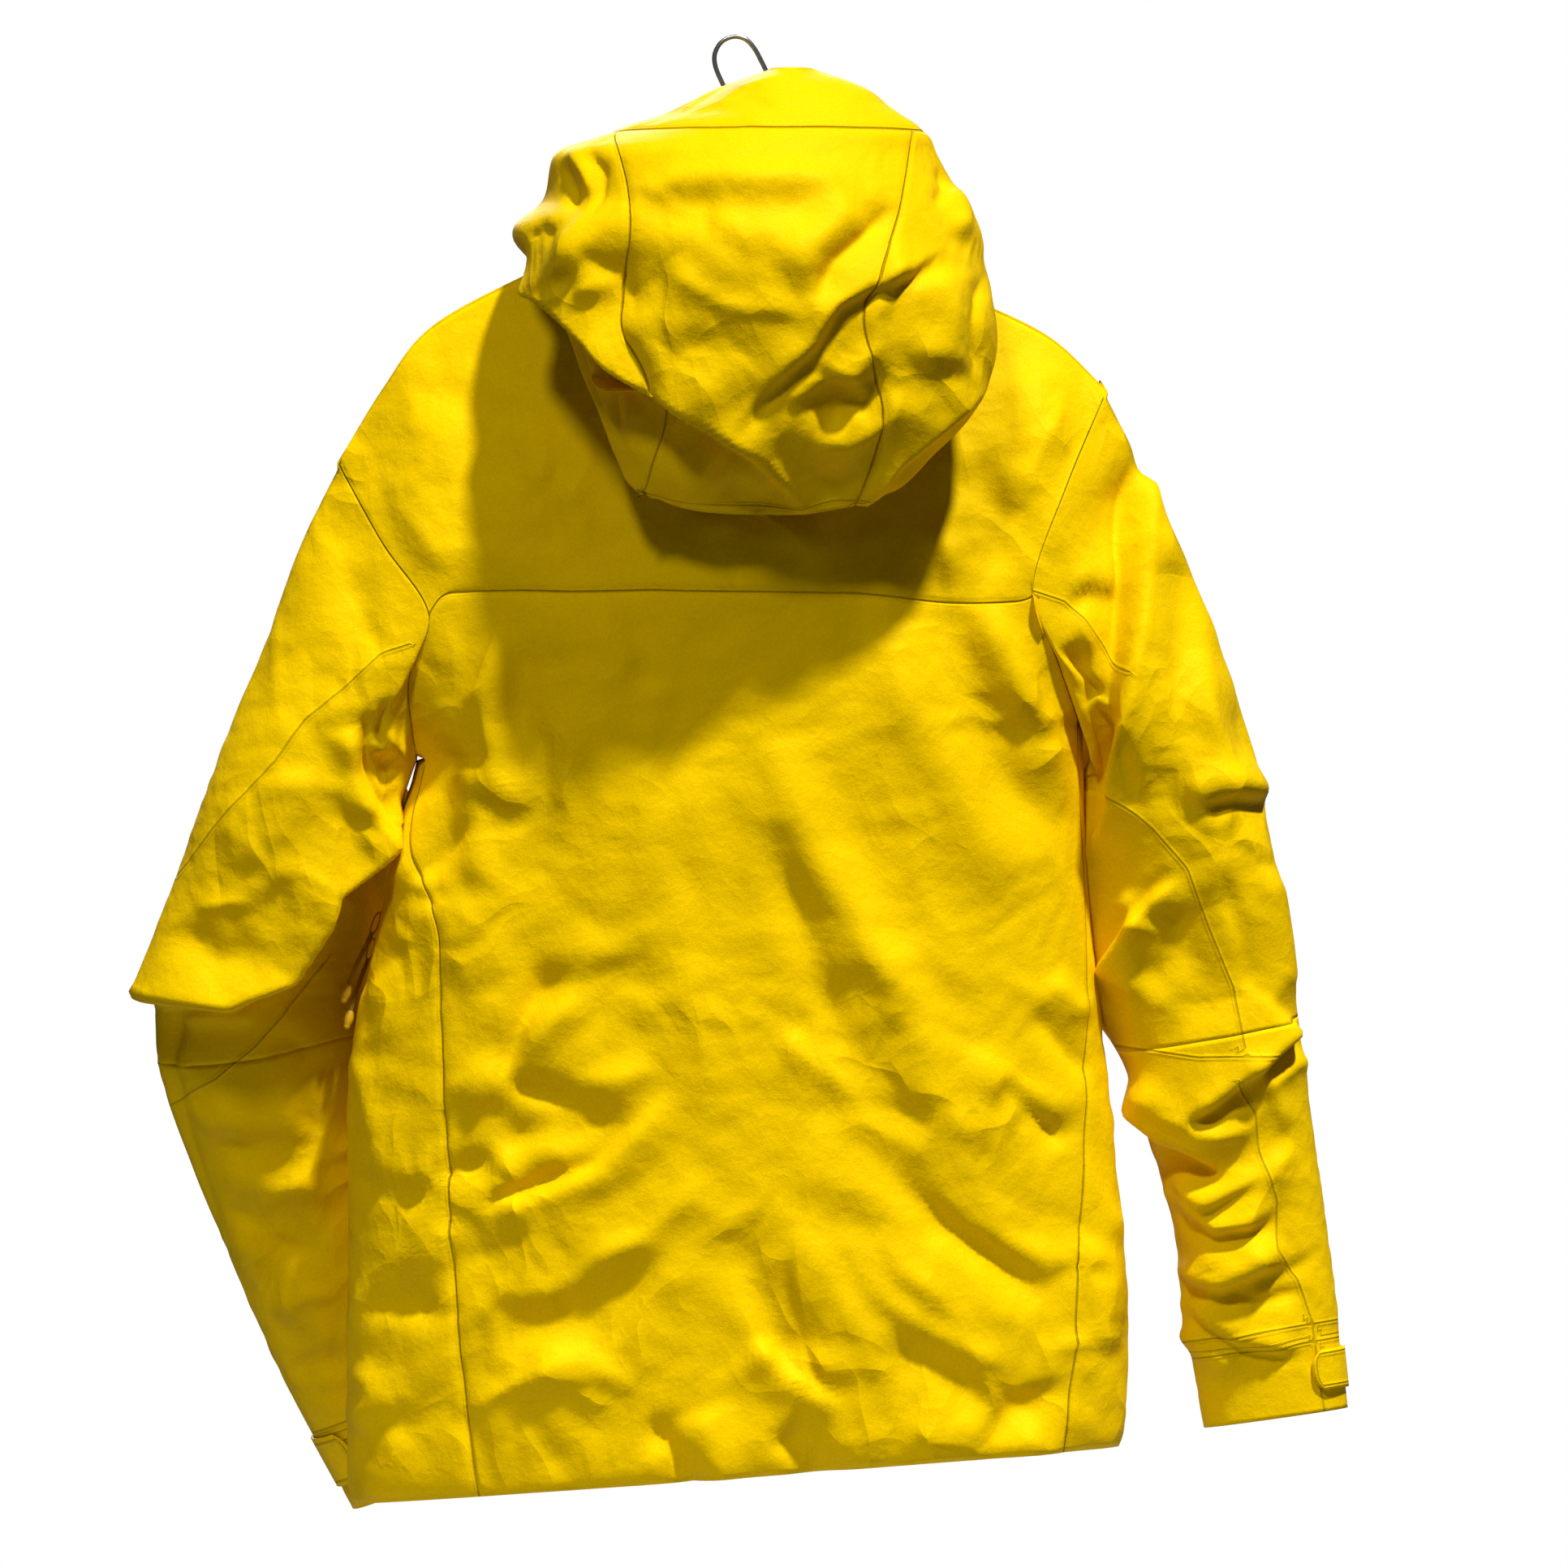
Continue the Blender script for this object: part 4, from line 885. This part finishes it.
# ---------------------------------------------------------------- trims
def tube(name, pts, r, mat, n=12, closed=False, smooth_=4, caps=True, rf=None):
    P = np.array(pts, float)
    if smooth_ > 1:
        K = len(P); out = []
        rng_ = range(K if closed else K - 1)
        for i in rng_:
            p0, p1, p2, p3 = (P[(i - 1) % K], P[i], P[(i + 1) % K], P[(i + 2) % K]) if closed else (P[max(0, i - 1)], P[i], P[i + 1], P[min(K - 1, i + 2)])
            for k in range(smooth_):
                t = k / smooth_; out.append(0.5 * ((2 * p1) + (-p0 + p2) * t + (2 * p0 - 5 * p1 + 4 * p2 - p3) * t * t + (-p0 + 3 * p1 - 3 * p2 + p3) * t ** 3))
        if not closed: out.append(P[-1])
        P = np.array(out)
    K = len(P); T = np.gradient(P, axis=0) if not closed else np.roll(P, -1, 0) - np.roll(P, 1, 0)
    T /= np.maximum(np.linalg.norm(T, axis=1, keepdims=True), 1e-12)
    up = np.array([0.0, 1.0, 0.0]) if abs(T[0] @ [0, 1, 0]) < 0.9 else np.array([1.0, 0, 0]); vs = []; nrm = up
    for i in range(K):
        nrm = nrm - T[i] * (nrm @ T[i]); nrm /= np.linalg.norm(nrm); bi = np.cross(T[i], nrm); rr = r if rf is None else r * rf(i / (K - 1))
        for k in range(n):
            a = 2 * math.pi * k / n; vs.append(P[i] + rr * (math.cos(a) * nrm + math.sin(a) * bi))
    F = []
    for i in range(K if closed else K - 1):
        for k in range(n): F.append([i * n + k, i * n + (k + 1) % n, ((i + 1) % K) * n + (k + 1) % n, ((i + 1) % K) * n + k])
    if not closed and caps:
        vs += [P[0] - T[0] * r * 0.5, P[-1] + T[-1] * r * 0.5]; m = K * n
        F += [[m, (k + 1) % n, k] for k in range(n)] + [[m + 1, (K - 1) * n + k, (K - 1) * n + (k + 1) % n] for k in range(n)]
    o = make_mesh(name, vs, F, None, mat); fixn(o); o["_path"] = 0; return o, P
def fixn(o):
    bm = bmesh.new(); bm.from_mesh(o.data); bmesh.ops.recalc_face_normals(bm, faces=bm.faces); bm.to_mesh(o.data); bm.free()
def block(parts, name, mat, bevel=0.0006, seg=2):
    """Rounded blocks, each (centre, half sizes, 3 axes), in one mesh."""
    bm = bmesh.new()
    for c, h, ax in parts:
        A = [Vector(a) for a in ax]; vs = []
        for sx in (-1, 1):
            for sy in (-1, 1):
                for sz in (-1, 1): vs.append(bm.verts.new(Vector(c) + A[0] * (sx * h[0]) + A[1] * (sy * h[1]) + A[2] * (sz * h[2])))
        for f in ((0, 1, 3, 2), (4, 6, 7, 5), (0, 4, 5, 1), (2, 3, 7, 6), (0, 2, 6, 4), (1, 5, 7, 3)): bm.faces.new([vs[k] for k in f])
    bmesh.ops.recalc_face_normals(bm, faces=bm.faces)
    if bevel: bmesh.ops.bevel(bm, geom=list(bm.edges), offset=bevel, segments=seg, profile=0.6, affect="EDGES", clamp_overlap=True)
    me = bpy.data.meshes.new(name); bm.to_mesh(me); bm.free(); me.shade_smooth(); me.materials.append(mat)
    o = bpy.data.objects.new(name, me); bpy.context.collection.objects.link(o); return o
def join(name, *obs):
    base = obs[0]
    with bpy.context.temp_override(active_object=base, selected_editable_objects=list(obs), selected_objects=list(obs)): bpy.ops.object.join()
    base.name = name; base.data.name = name; return base
def fr(p, n, t):
    p, n, t = (np.array(v, float) for v in (p, n, t)); n = n - t * (n @ t) / (t @ t); n /= np.linalg.norm(n); t = t / np.linalg.norm(t); w = np.cross(t, n); return p / 1000, w, n, t
def L2(F, a, b, c): p, w, n, t = F; return p + (w * a + n * b + t * c) / 1000
def zip_tape(name, F, length, width, node, bodyname="torso", pitch=1.5, one=0, sl="zip", thick=0.9, side=None):
    p, w, n, t = F; parts = []
    K = int(length / pitch)
    for k in range(K):
        c = -length / 2 + (k + 0.5) * pitch
        if one: parts.append((L2(F, one * (0.9 if k % 2 else 1.2), 0.5, c), (0.0011, 0.0009, 0.00045), (w, n, t)))
        else:
            for q in (-1, 1): parts.append((L2(F, q * 0.9, 0.5, c + (0.5 * pitch if q > 0 else 0)), (0.0011, 0.0009, 0.00042), (w, n, t)))
    a = block(parts, name + "_t", ZIPM, bevel=0, seg=1)
    wc = (one * (width / 2)) if one else 0
    m = 40; vs, F_ = [], []
    for j in range(m + 1):
        c = -length / 2 + length * j / m
        for k in range(5):
            x = (k / 4 - 0.5) * width + wc; vs.append(L2(F, x, -0.1 + 0.15 * math.sin(j * 0.9), c))
        for k in range(5):
            x = (0.5 - k / 4) * width + wc; vs.append(L2(F, x, -thick, c))
    for j in range(m):
        for k in range(10): F_.append([j * 10 + k, j * 10 + (k + 1) % 10, (j + 1) * 10 + (k + 1) % 10, (j + 1) * 10 + k])
    F_.append(list(range(10))[::-1]); F_.append([m * 10 + k for k in range(10)])
    b = make_mesh(name + "_b", vs, F_, None, ZIPM); fixn(b)
    o = join(name, a, b); ride(o, bodyname, node, sl=sl); return o
def slider(name, F, k, node, bodyname):
    p, w, n, t = F
    parts = [(L2(F, 0, 0.2, 0), (0.0040 * k, 0.0011, 0.0052 * k), (w, n, t)), (L2(F, 0, 2.6, 0), (0.0036 * k, 0.0008, 0.0048 * k), (w, n, t)), (L2(F, 0, 1.4, 3.6 * k), (0.0011, 0.0014, 0.0014), (w, n, t)),
             (L2(F, -3.2 * k, 1.9, -1.5), (0.0006, 0.0009, 0.0034 * k), (w, n, t)), (L2(F, 3.2 * k, 1.9, -1.5), (0.0006, 0.0009, 0.0034 * k), (w, n, t))]
    a = block(parts, name + "_a", ZIPM, bevel=0.0007, seg=3)
    b, _ = tube(name + "_b", [L2(F, 0, 3.1, -3.2 * k), L2(F, 0, 4.9, -2.2 * k), L2(F, 0, 5.3, 0), L2(F, 0, 4.9, 2.2 * k), L2(F, 0, 3.1, 3.2 * k)], 0.0008, ZIPM, n=8)
    o = join(name, a, b); ride(o, bodyname, node, sl="zip"); return o
def pull(nm, pts, r, bodyname, node, link=None, tip=True, F=None, sl="pull_webbing"):
    """A doubled cord from the link to a moulded tip. pts are in row millimetres."""
    P = np.array(pts, float) / 1000
    o, path = tube(nm + "_cord", P, r, PULLM, n=10, smooth_=6)
    length = float(np.linalg.norm(np.diff(path, axis=0), axis=1).sum())
    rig.ride(o, bodyname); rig.slot(o, sl); extra = []
    if link is not None:
        q = np.array(link, float) / 1000; c = q.mean(0); ring = []
        ax = q[1] - q[0]; L = np.linalg.norm(ax); ax /= L; side_ = np.cross(ax, [0, 1, 0.0]); side_ /= np.linalg.norm(side_)
        for a in np.linspace(0, 2 * math.pi, 24, endpoint=False): ring.append(c + ax * (L / 2) * math.cos(a) + side_ * 0.0022 * math.sin(a))
        l, _ = tube(nm + "_link", ring, 0.0007, ZIPM, n=8, closed=True, smooth_=1); ride(l, bodyname, node, sl=sl); extra.append(l)
    if tip:
        d = path[-1] - path[-6]; d /= np.linalg.norm(d); e = path[-1]
        tp, _ = tube(nm + "_tip", [e - d * 0.002, e + d * 0.002, e + d * 0.006, e + d * 0.0095], r * 1.9, LOCK if False else ZIPM, n=14, smooth_=4, rf=lambda k: 0.75 + 0.35 * math.sin(math.pi * min(1, k * 1.15)))
        ride(tp, bodyname, sl=sl); extra.append(tp)
    if length >= 0.03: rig.cord(o, exit=[float(v) for v in path[0]], length=length, diameter=2 * r, far_end="fitting" if tip else "object", stiffness="medium", lay="hanging", path=[[float(x) for x in p] for p in path], with_pieces=extra)
    return o, extra
# front zip
TF = fr((0, 76.9, -554), (0, .999, .045), (0, -.045, .999))
for s, nm in ((-1, "left"), (1, "right")):
    lo_b, hi_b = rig.box(f"front_zip_tape_{nm}"); ln = (hi_b[2] - lo_b[2]) * 1000
    zip_tape(f"front_zip_{nm}_teeth", fr((0, 76.9, (lo_b[2] + hi_b[2]) * 500), (0, .999, .045), (0, -.045, .999)), ln, 7, f"front_zip_tape_{nm}", one=s, pitch=1.9)
slider("front_zip_slider_body", fr((0, 60.2, -151), (0, .999, .045), (0, -.045, .999)), 1.15, "front_zip_slider", "front_slider")
lo_b, hi_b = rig.box("front_zip_pull"); cx_ = (lo_b + hi_b) * 500
pull("front_pull", [(0, 66.6, hi_b[2] * 1000 - 16), (0.6, 67.6, hi_b[2] * 1000 - 28), (-0.4, 67.9, hi_b[2] * 1000 - 40), (0, 67.6, hi_b[2] * 1000 - 52)], 0.0022, "front_pull", "front_zip_pull", link=[(0, 66.0, hi_b[2] * 1000 - 1), (0, 66.8, hi_b[2] * 1000 - 17)])
# pit zips
PIT = {"left": [fr((-230.8, 20.6, -573.9), (-.794, .577, .190), (.224, -.013, .975)), (-236.6, 21.8, -593.2), (-240.5, 22.0, -610.8)], "right": [fr((232.5, 20.6, -547.7), (.806, .590, .048), (-.06, 0, .998)), (234.8, 21.8, -566.7), (235.5, 22.0, -583.9)]}
for nm, (F, a, b) in PIT.items():
    zip_tape(f"{nm}_pit_zip_teeth", F, 98, 12, f"{nm}_pit_zip_tape", pitch=1.4)
    for which, q in (("upper", a), ("lower", b)):
        s = -1 if nm == "left" else 1
        slider(f"{nm}_pit_slider_{which}_body", (np.array(q) / 1000, F[1], F[2], F[3]), 0.85, f"{nm}_pit_zip_slider_{which}", f"{nm}_pit_slider_{which}")
        lo_b, hi_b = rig.box(f"{nm}_pit_zip_pull_{which}"); top = hi_b[2] * 1000; cx = (lo_b[0] + hi_b[0]) * 500; cy = (lo_b[1] + hi_b[1]) * 500
        k = 3 if which == "upper" else 0
        if s > 0: s = -0.25
        if nm == "left":
            m = 1.0 if which == "upper" else 0.75
            way = [(cx - 5 * m, cy - 8 * m, top - 14.5), (cx - 11 * m, cy - 17 * m, top - 27), (cx - 17 * m, cy - 24 * m, top - 40), (cx - 21 * m, cy - 27 * m, top - 52)]; lk = [(cx, cy, top - 0.5), (cx - 5.4 * m, cy - 8.6 * m, top - 15.5)]
        else: way = [(cx + s * 1.5, cy, top - 15), (cx + s * (3 + k), cy + 0.5, top - 27), (cx + s * (6 + 1.4 * k), cy + .3, top - 39), (cx + s * (9 + 1.6 * k), cy, top - 51)]; lk = [(cx - s * 1, cy, top - 0.5), (cx + s * 1.5, cy, top - 16)]
        pull(f"{nm}_pit_pull_{which}", way, 0.0016, f"{nm}_pit_pull_{which}", f"{nm}_pit_zip_pull_{which}", link=lk)
# pocket zips
POC = {"left": [fr((-158, 73.3, -766.6), (-.241, .970, .043), (.127, -.012, .992)), (-149.7, 74.8, -697.2)], "right": [fr((150.8, 73.3, -746.3), (.235, .971, .053), (-.212, -.002, .977)), (136.7, 74.8, -679.1)]}
for nm, (F, a) in POC.items():
    lo_b, hi_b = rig.box(f"{nm}_pocket_zip_tape"); ln = (hi_b - lo_b).length * 1000 - 14
    zip_tape(f"{nm}_pocket_zip_teeth", F, ln, 12, f"{nm}_pocket_zip_tape", pitch=1.6)
    slider(f"{nm}_pocket_slider_body", (np.array(a) / 1000, F[1], F[2], F[3]), 1.0, f"{nm}_pocket_zip_slider", f"{nm}_pocket_slider")
    lo_b, hi_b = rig.box(f"{nm}_pocket_zip_pull"); top = hi_b[2] * 1000; cx = (lo_b[0] + hi_b[0]) * 500; cy = (lo_b[1] + hi_b[1]) * 500; dx = -0.12 if nm == "left" else 0.2
    pull(f"{nm}_pocket_pull", [(cx - dx * 4, cy, top - 12), (cx + .6 + dx * 8, cy + .6, top - 24), (cx + dx * 20, cy + .6, top - 34), (cx + dx * 30, cy, top - 44)], 0.0019, f"{nm}_pocket_pull", f"{nm}_pocket_zip_pull", link=[(cx - dx * 16, cy, top - 0.5), (cx - dx * 3, cy, top - 13)])
# hem cord locks
for nm, q, z in (("left", (-229.7, 20.4), -975.9), ("right", (230.2, 20.3), -939.5)):
    lo_b, hi_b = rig.box(f"hem_cord_lock_{nm}"); c = (lo_b + hi_b) / 2; h = hi_b - lo_b
    def lathe(name, c, ax, prof, mat, n=32):
        ax = np.array(ax, float); u = np.cross(ax, [0, 0, 1.0] if abs(ax[2]) < .9 else [0, 1.0, 0]); u /= np.linalg.norm(u); w = np.cross(ax, u); vs, F_ = [], []
        for (r, y) in prof:
            for k in range(n): t = 2 * math.pi * k / n; vs.append(np.array(c) + ax * y + r * (math.cos(t) * u + math.sin(t) * w))
        for j in range(len(prof) - 1):
            for k in range(n): F_.append([j * n + k, j * n + (k + 1) % n, (j + 1) * n + (k + 1) % n, (j + 1) * n + k])
        F_.append(list(range(n))[::-1]); F_.append([(len(prof) - 1) * n + k for k in range(n)])
        o = make_mesh(name, vs, F_, None, mat); fixn(o); return o
    up = 0.0075
    prof = [(0.0045, -up), (0.0066, -up + 0.0007)] + [(0.0074 - 0.0005 * (k % 2), -up + 0.002 + k * 0.0012) for k in range(9)] + [(0.0072, up - 0.0015), (0.0064, up - 0.0004), (0.0052, up)]
    o = lathe(f"hem_cord_lock_{nm}_barrel", c, (0, 0, 1), prof, LOCK); ride(o, "torso", f"hem_cord_lock_{nm}", sl="lock_plastic")
    lo_b, hi_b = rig.box(f"hem_cord_button_{nm}"); c2 = (lo_b + hi_b) / 2; hh = (hi_b[2] - lo_b[2]) / 2
    o = lathe(f"hem_cord_button_{nm}_cap", c2, (0, 0, 1), [(0.0036, -hh), (0.0040, -hh + .001), (0.0040, hh - .005), (0.0048, hh - .004), (0.0050, hh - .0015), (0.0044, hh - .0004), (0.003, hh)], LOCK); ride(o, f"{nm}_hem_button", f"hem_cord_button_{nm}", sl="lock_plastic")
# loop and label
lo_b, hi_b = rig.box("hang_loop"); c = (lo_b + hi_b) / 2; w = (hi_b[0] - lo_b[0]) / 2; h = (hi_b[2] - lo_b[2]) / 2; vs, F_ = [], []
n = 48
for k in range(n):
    t = 2 * math.pi * k / n; cx, sz = math.cos(t), math.sin(t); X = c[0] + (w - 0.001) * sgn(cx) * abs(cx) ** 0.7; Z = c[2] + (h - 0.001) * sgn(sz) * abs(sz) ** 0.55
    for (a, b) in ((-0.0007, -0.0035), (0.0007, -0.0035), (0.0007, 0.0035), (-0.0007, 0.0035)): vs.append((X + a * cx, c[1] + b, Z + a * sz))
for k in range(n):
    for q in range(4): F_.append([k * 4 + q, k * 4 + (q + 1) % 4, ((k + 1) % n) * 4 + (q + 1) % 4, ((k + 1) % n) * 4 + q])
o = make_mesh("hang_loop_webbing", vs, F_, None, WEB); fixn(o); ride(o, "torso", "hang_loop", sl="webbing")
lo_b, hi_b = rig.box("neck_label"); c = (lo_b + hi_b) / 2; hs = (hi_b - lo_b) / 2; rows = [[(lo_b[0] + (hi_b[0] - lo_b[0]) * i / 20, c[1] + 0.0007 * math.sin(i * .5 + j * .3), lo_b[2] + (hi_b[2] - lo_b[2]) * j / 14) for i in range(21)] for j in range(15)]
P = np.array(rows) * 1000; P[..., 2] -= OZ; o = shell_mesh("neck_label_woven", P, np.broadcast_to(np.array([0, 1.0, 0]), P.shape), 0.7, False, True, np.full(P.shape[:2], 40.0), LABEL); fixn(o); ride(o, "torso", "neck_label", sl="webbing")
# hanger
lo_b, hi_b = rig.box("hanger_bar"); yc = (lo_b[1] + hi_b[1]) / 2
pts = [(x / 1000, yc, (table(BAR, x)[0] + OZ) / 1000) for x in np.linspace(-176, 176, 45)]
vs, F_ = [], []
for i, (x, y, z) in enumerate(pts):
    e = 1 - abs(i / 22 - 1) ** 8 * 0.55
    for k in range(20):
        a = 2 * math.pi * k / 20; vs.append((x, y + 0.0094 * e * sgn(math.cos(a)) * abs(math.cos(a)) ** .8, z + 0.0056 * e * sgn(math.sin(a)) * abs(math.sin(a)) ** .8))
for i in range(44):
    for k in range(20): F_.append([i * 20 + k, i * 20 + (k + 1) % 20, (i + 1) * 20 + (k + 1) % 20, (i + 1) * 20 + k])
F_.append(list(range(20))[::-1]); F_.append([44 * 20 + k for k in range(20)])
o = make_mesh("hanger_bar_moulded", vs, F_, None, HANG); fixn(o); ride(o, "torso", "hanger_bar", sl="hanger_plastic")
HP = [(0, -30.8), (0, 20), (0, 70), (-3, 92), (-9, 104), (-14, 116), (-14.5, 125), (-10, 133), (-2, 136.6), (6, 135), (12, 129), (17, 120), (22, 109), (23, 100)]
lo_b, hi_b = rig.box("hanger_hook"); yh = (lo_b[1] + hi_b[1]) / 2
o, _ = tube("hanger_hook_wire", [(x / 1000, yh, (z + OZ) / 1000) for x, z in HP], 0.0016, CHROME, n=20, smooth_=8); ride(o, "hook", "hanger_hook", sl="hook_steel")

# ---------------------------------------------------------------- stage
def sun(name, d, e, ang):
    l = bpy.data.lights.new(name, "SUN"); l.energy = e; l.angle = math.radians(ang); o = bpy.data.objects.new(name, l); bpy.context.collection.objects.link(o)
    o.rotation_euler = Vector(d).to_track_quat("Z", "Y").to_euler(); return o
sun("key", (0.26, -0.36, 0.90), 4.5, 4.5); sun("second", (-0.22, -0.68, 0.70), 1.1, 8); sun("behind", (-0.10, 0.90, 0.30), 1.2, 25)
wd = bpy.data.worlds.new("plain"); bpy.context.scene.world = wd; wd.use_nodes = True; nt = wd.node_tree; nt.nodes.clear()
bg1 = nt.nodes.new("ShaderNodeBackground"); bg1.inputs[0].default_value = (1, 1, 1, 1); bg1.inputs[1].default_value = 0.07
bg2 = nt.nodes.new("ShaderNodeBackground"); bg2.inputs[0].default_value = (1, 1, 1, 1); bg2.inputs[1].default_value = 1.0
lp = nt.nodes.new("ShaderNodeLightPath"); mx = nt.nodes.new("ShaderNodeMixShader"); ow = nt.nodes.new("ShaderNodeOutputWorld")
nt.links.new(lp.outputs["Is Camera Ray"], mx.inputs[0]); nt.links.new(bg1.outputs[0], mx.inputs[1]); nt.links.new(bg2.outputs[0], mx.inputs[2]); nt.links.new(mx.outputs[0], ow.inputs[0])
floor = make_mesh("floor", [(0.8 * math.cos(k * math.pi / 60), 0.8 * math.sin(k * math.pi / 60), -1.25) for k in range(120)], [list(range(120))], None, None)
FM = bpy.data.materials.new("floor_pale"); FM.use_nodes = True; fb = FM.node_tree.nodes["Principled BSDF"]; fb.inputs["Roughness"].default_value = 0.9; fb.inputs["Specular IOR Level"].default_value = 0.0
fn_ = FM.node_tree.nodes.new("ShaderNodeTexNoise"); fn_.inputs["Scale"].default_value = 3.0; fr_ = FM.node_tree.nodes.new("ShaderNodeMapRange"); fr_.inputs[3].default_value = 0.40; fr_.inputs[4].default_value = 0.41
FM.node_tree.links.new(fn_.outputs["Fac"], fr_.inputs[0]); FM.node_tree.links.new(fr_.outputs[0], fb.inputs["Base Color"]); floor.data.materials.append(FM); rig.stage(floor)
cam = bpy.data.cameras.new("cam"); cam.lens = 36 * 14.0 / 1.0626; cam.sensor_width = 36; cam.clip_end = 200; co = bpy.data.objects.new("cam", cam); bpy.context.collection.objects.link(co)
co.location = (0.03245, -14.03, -0.506); co.rotation_euler = (math.radians(90), 0, 0); bpy.context.scene.camera = co
bpy.context.scene.view_settings.view_transform = "Standard"
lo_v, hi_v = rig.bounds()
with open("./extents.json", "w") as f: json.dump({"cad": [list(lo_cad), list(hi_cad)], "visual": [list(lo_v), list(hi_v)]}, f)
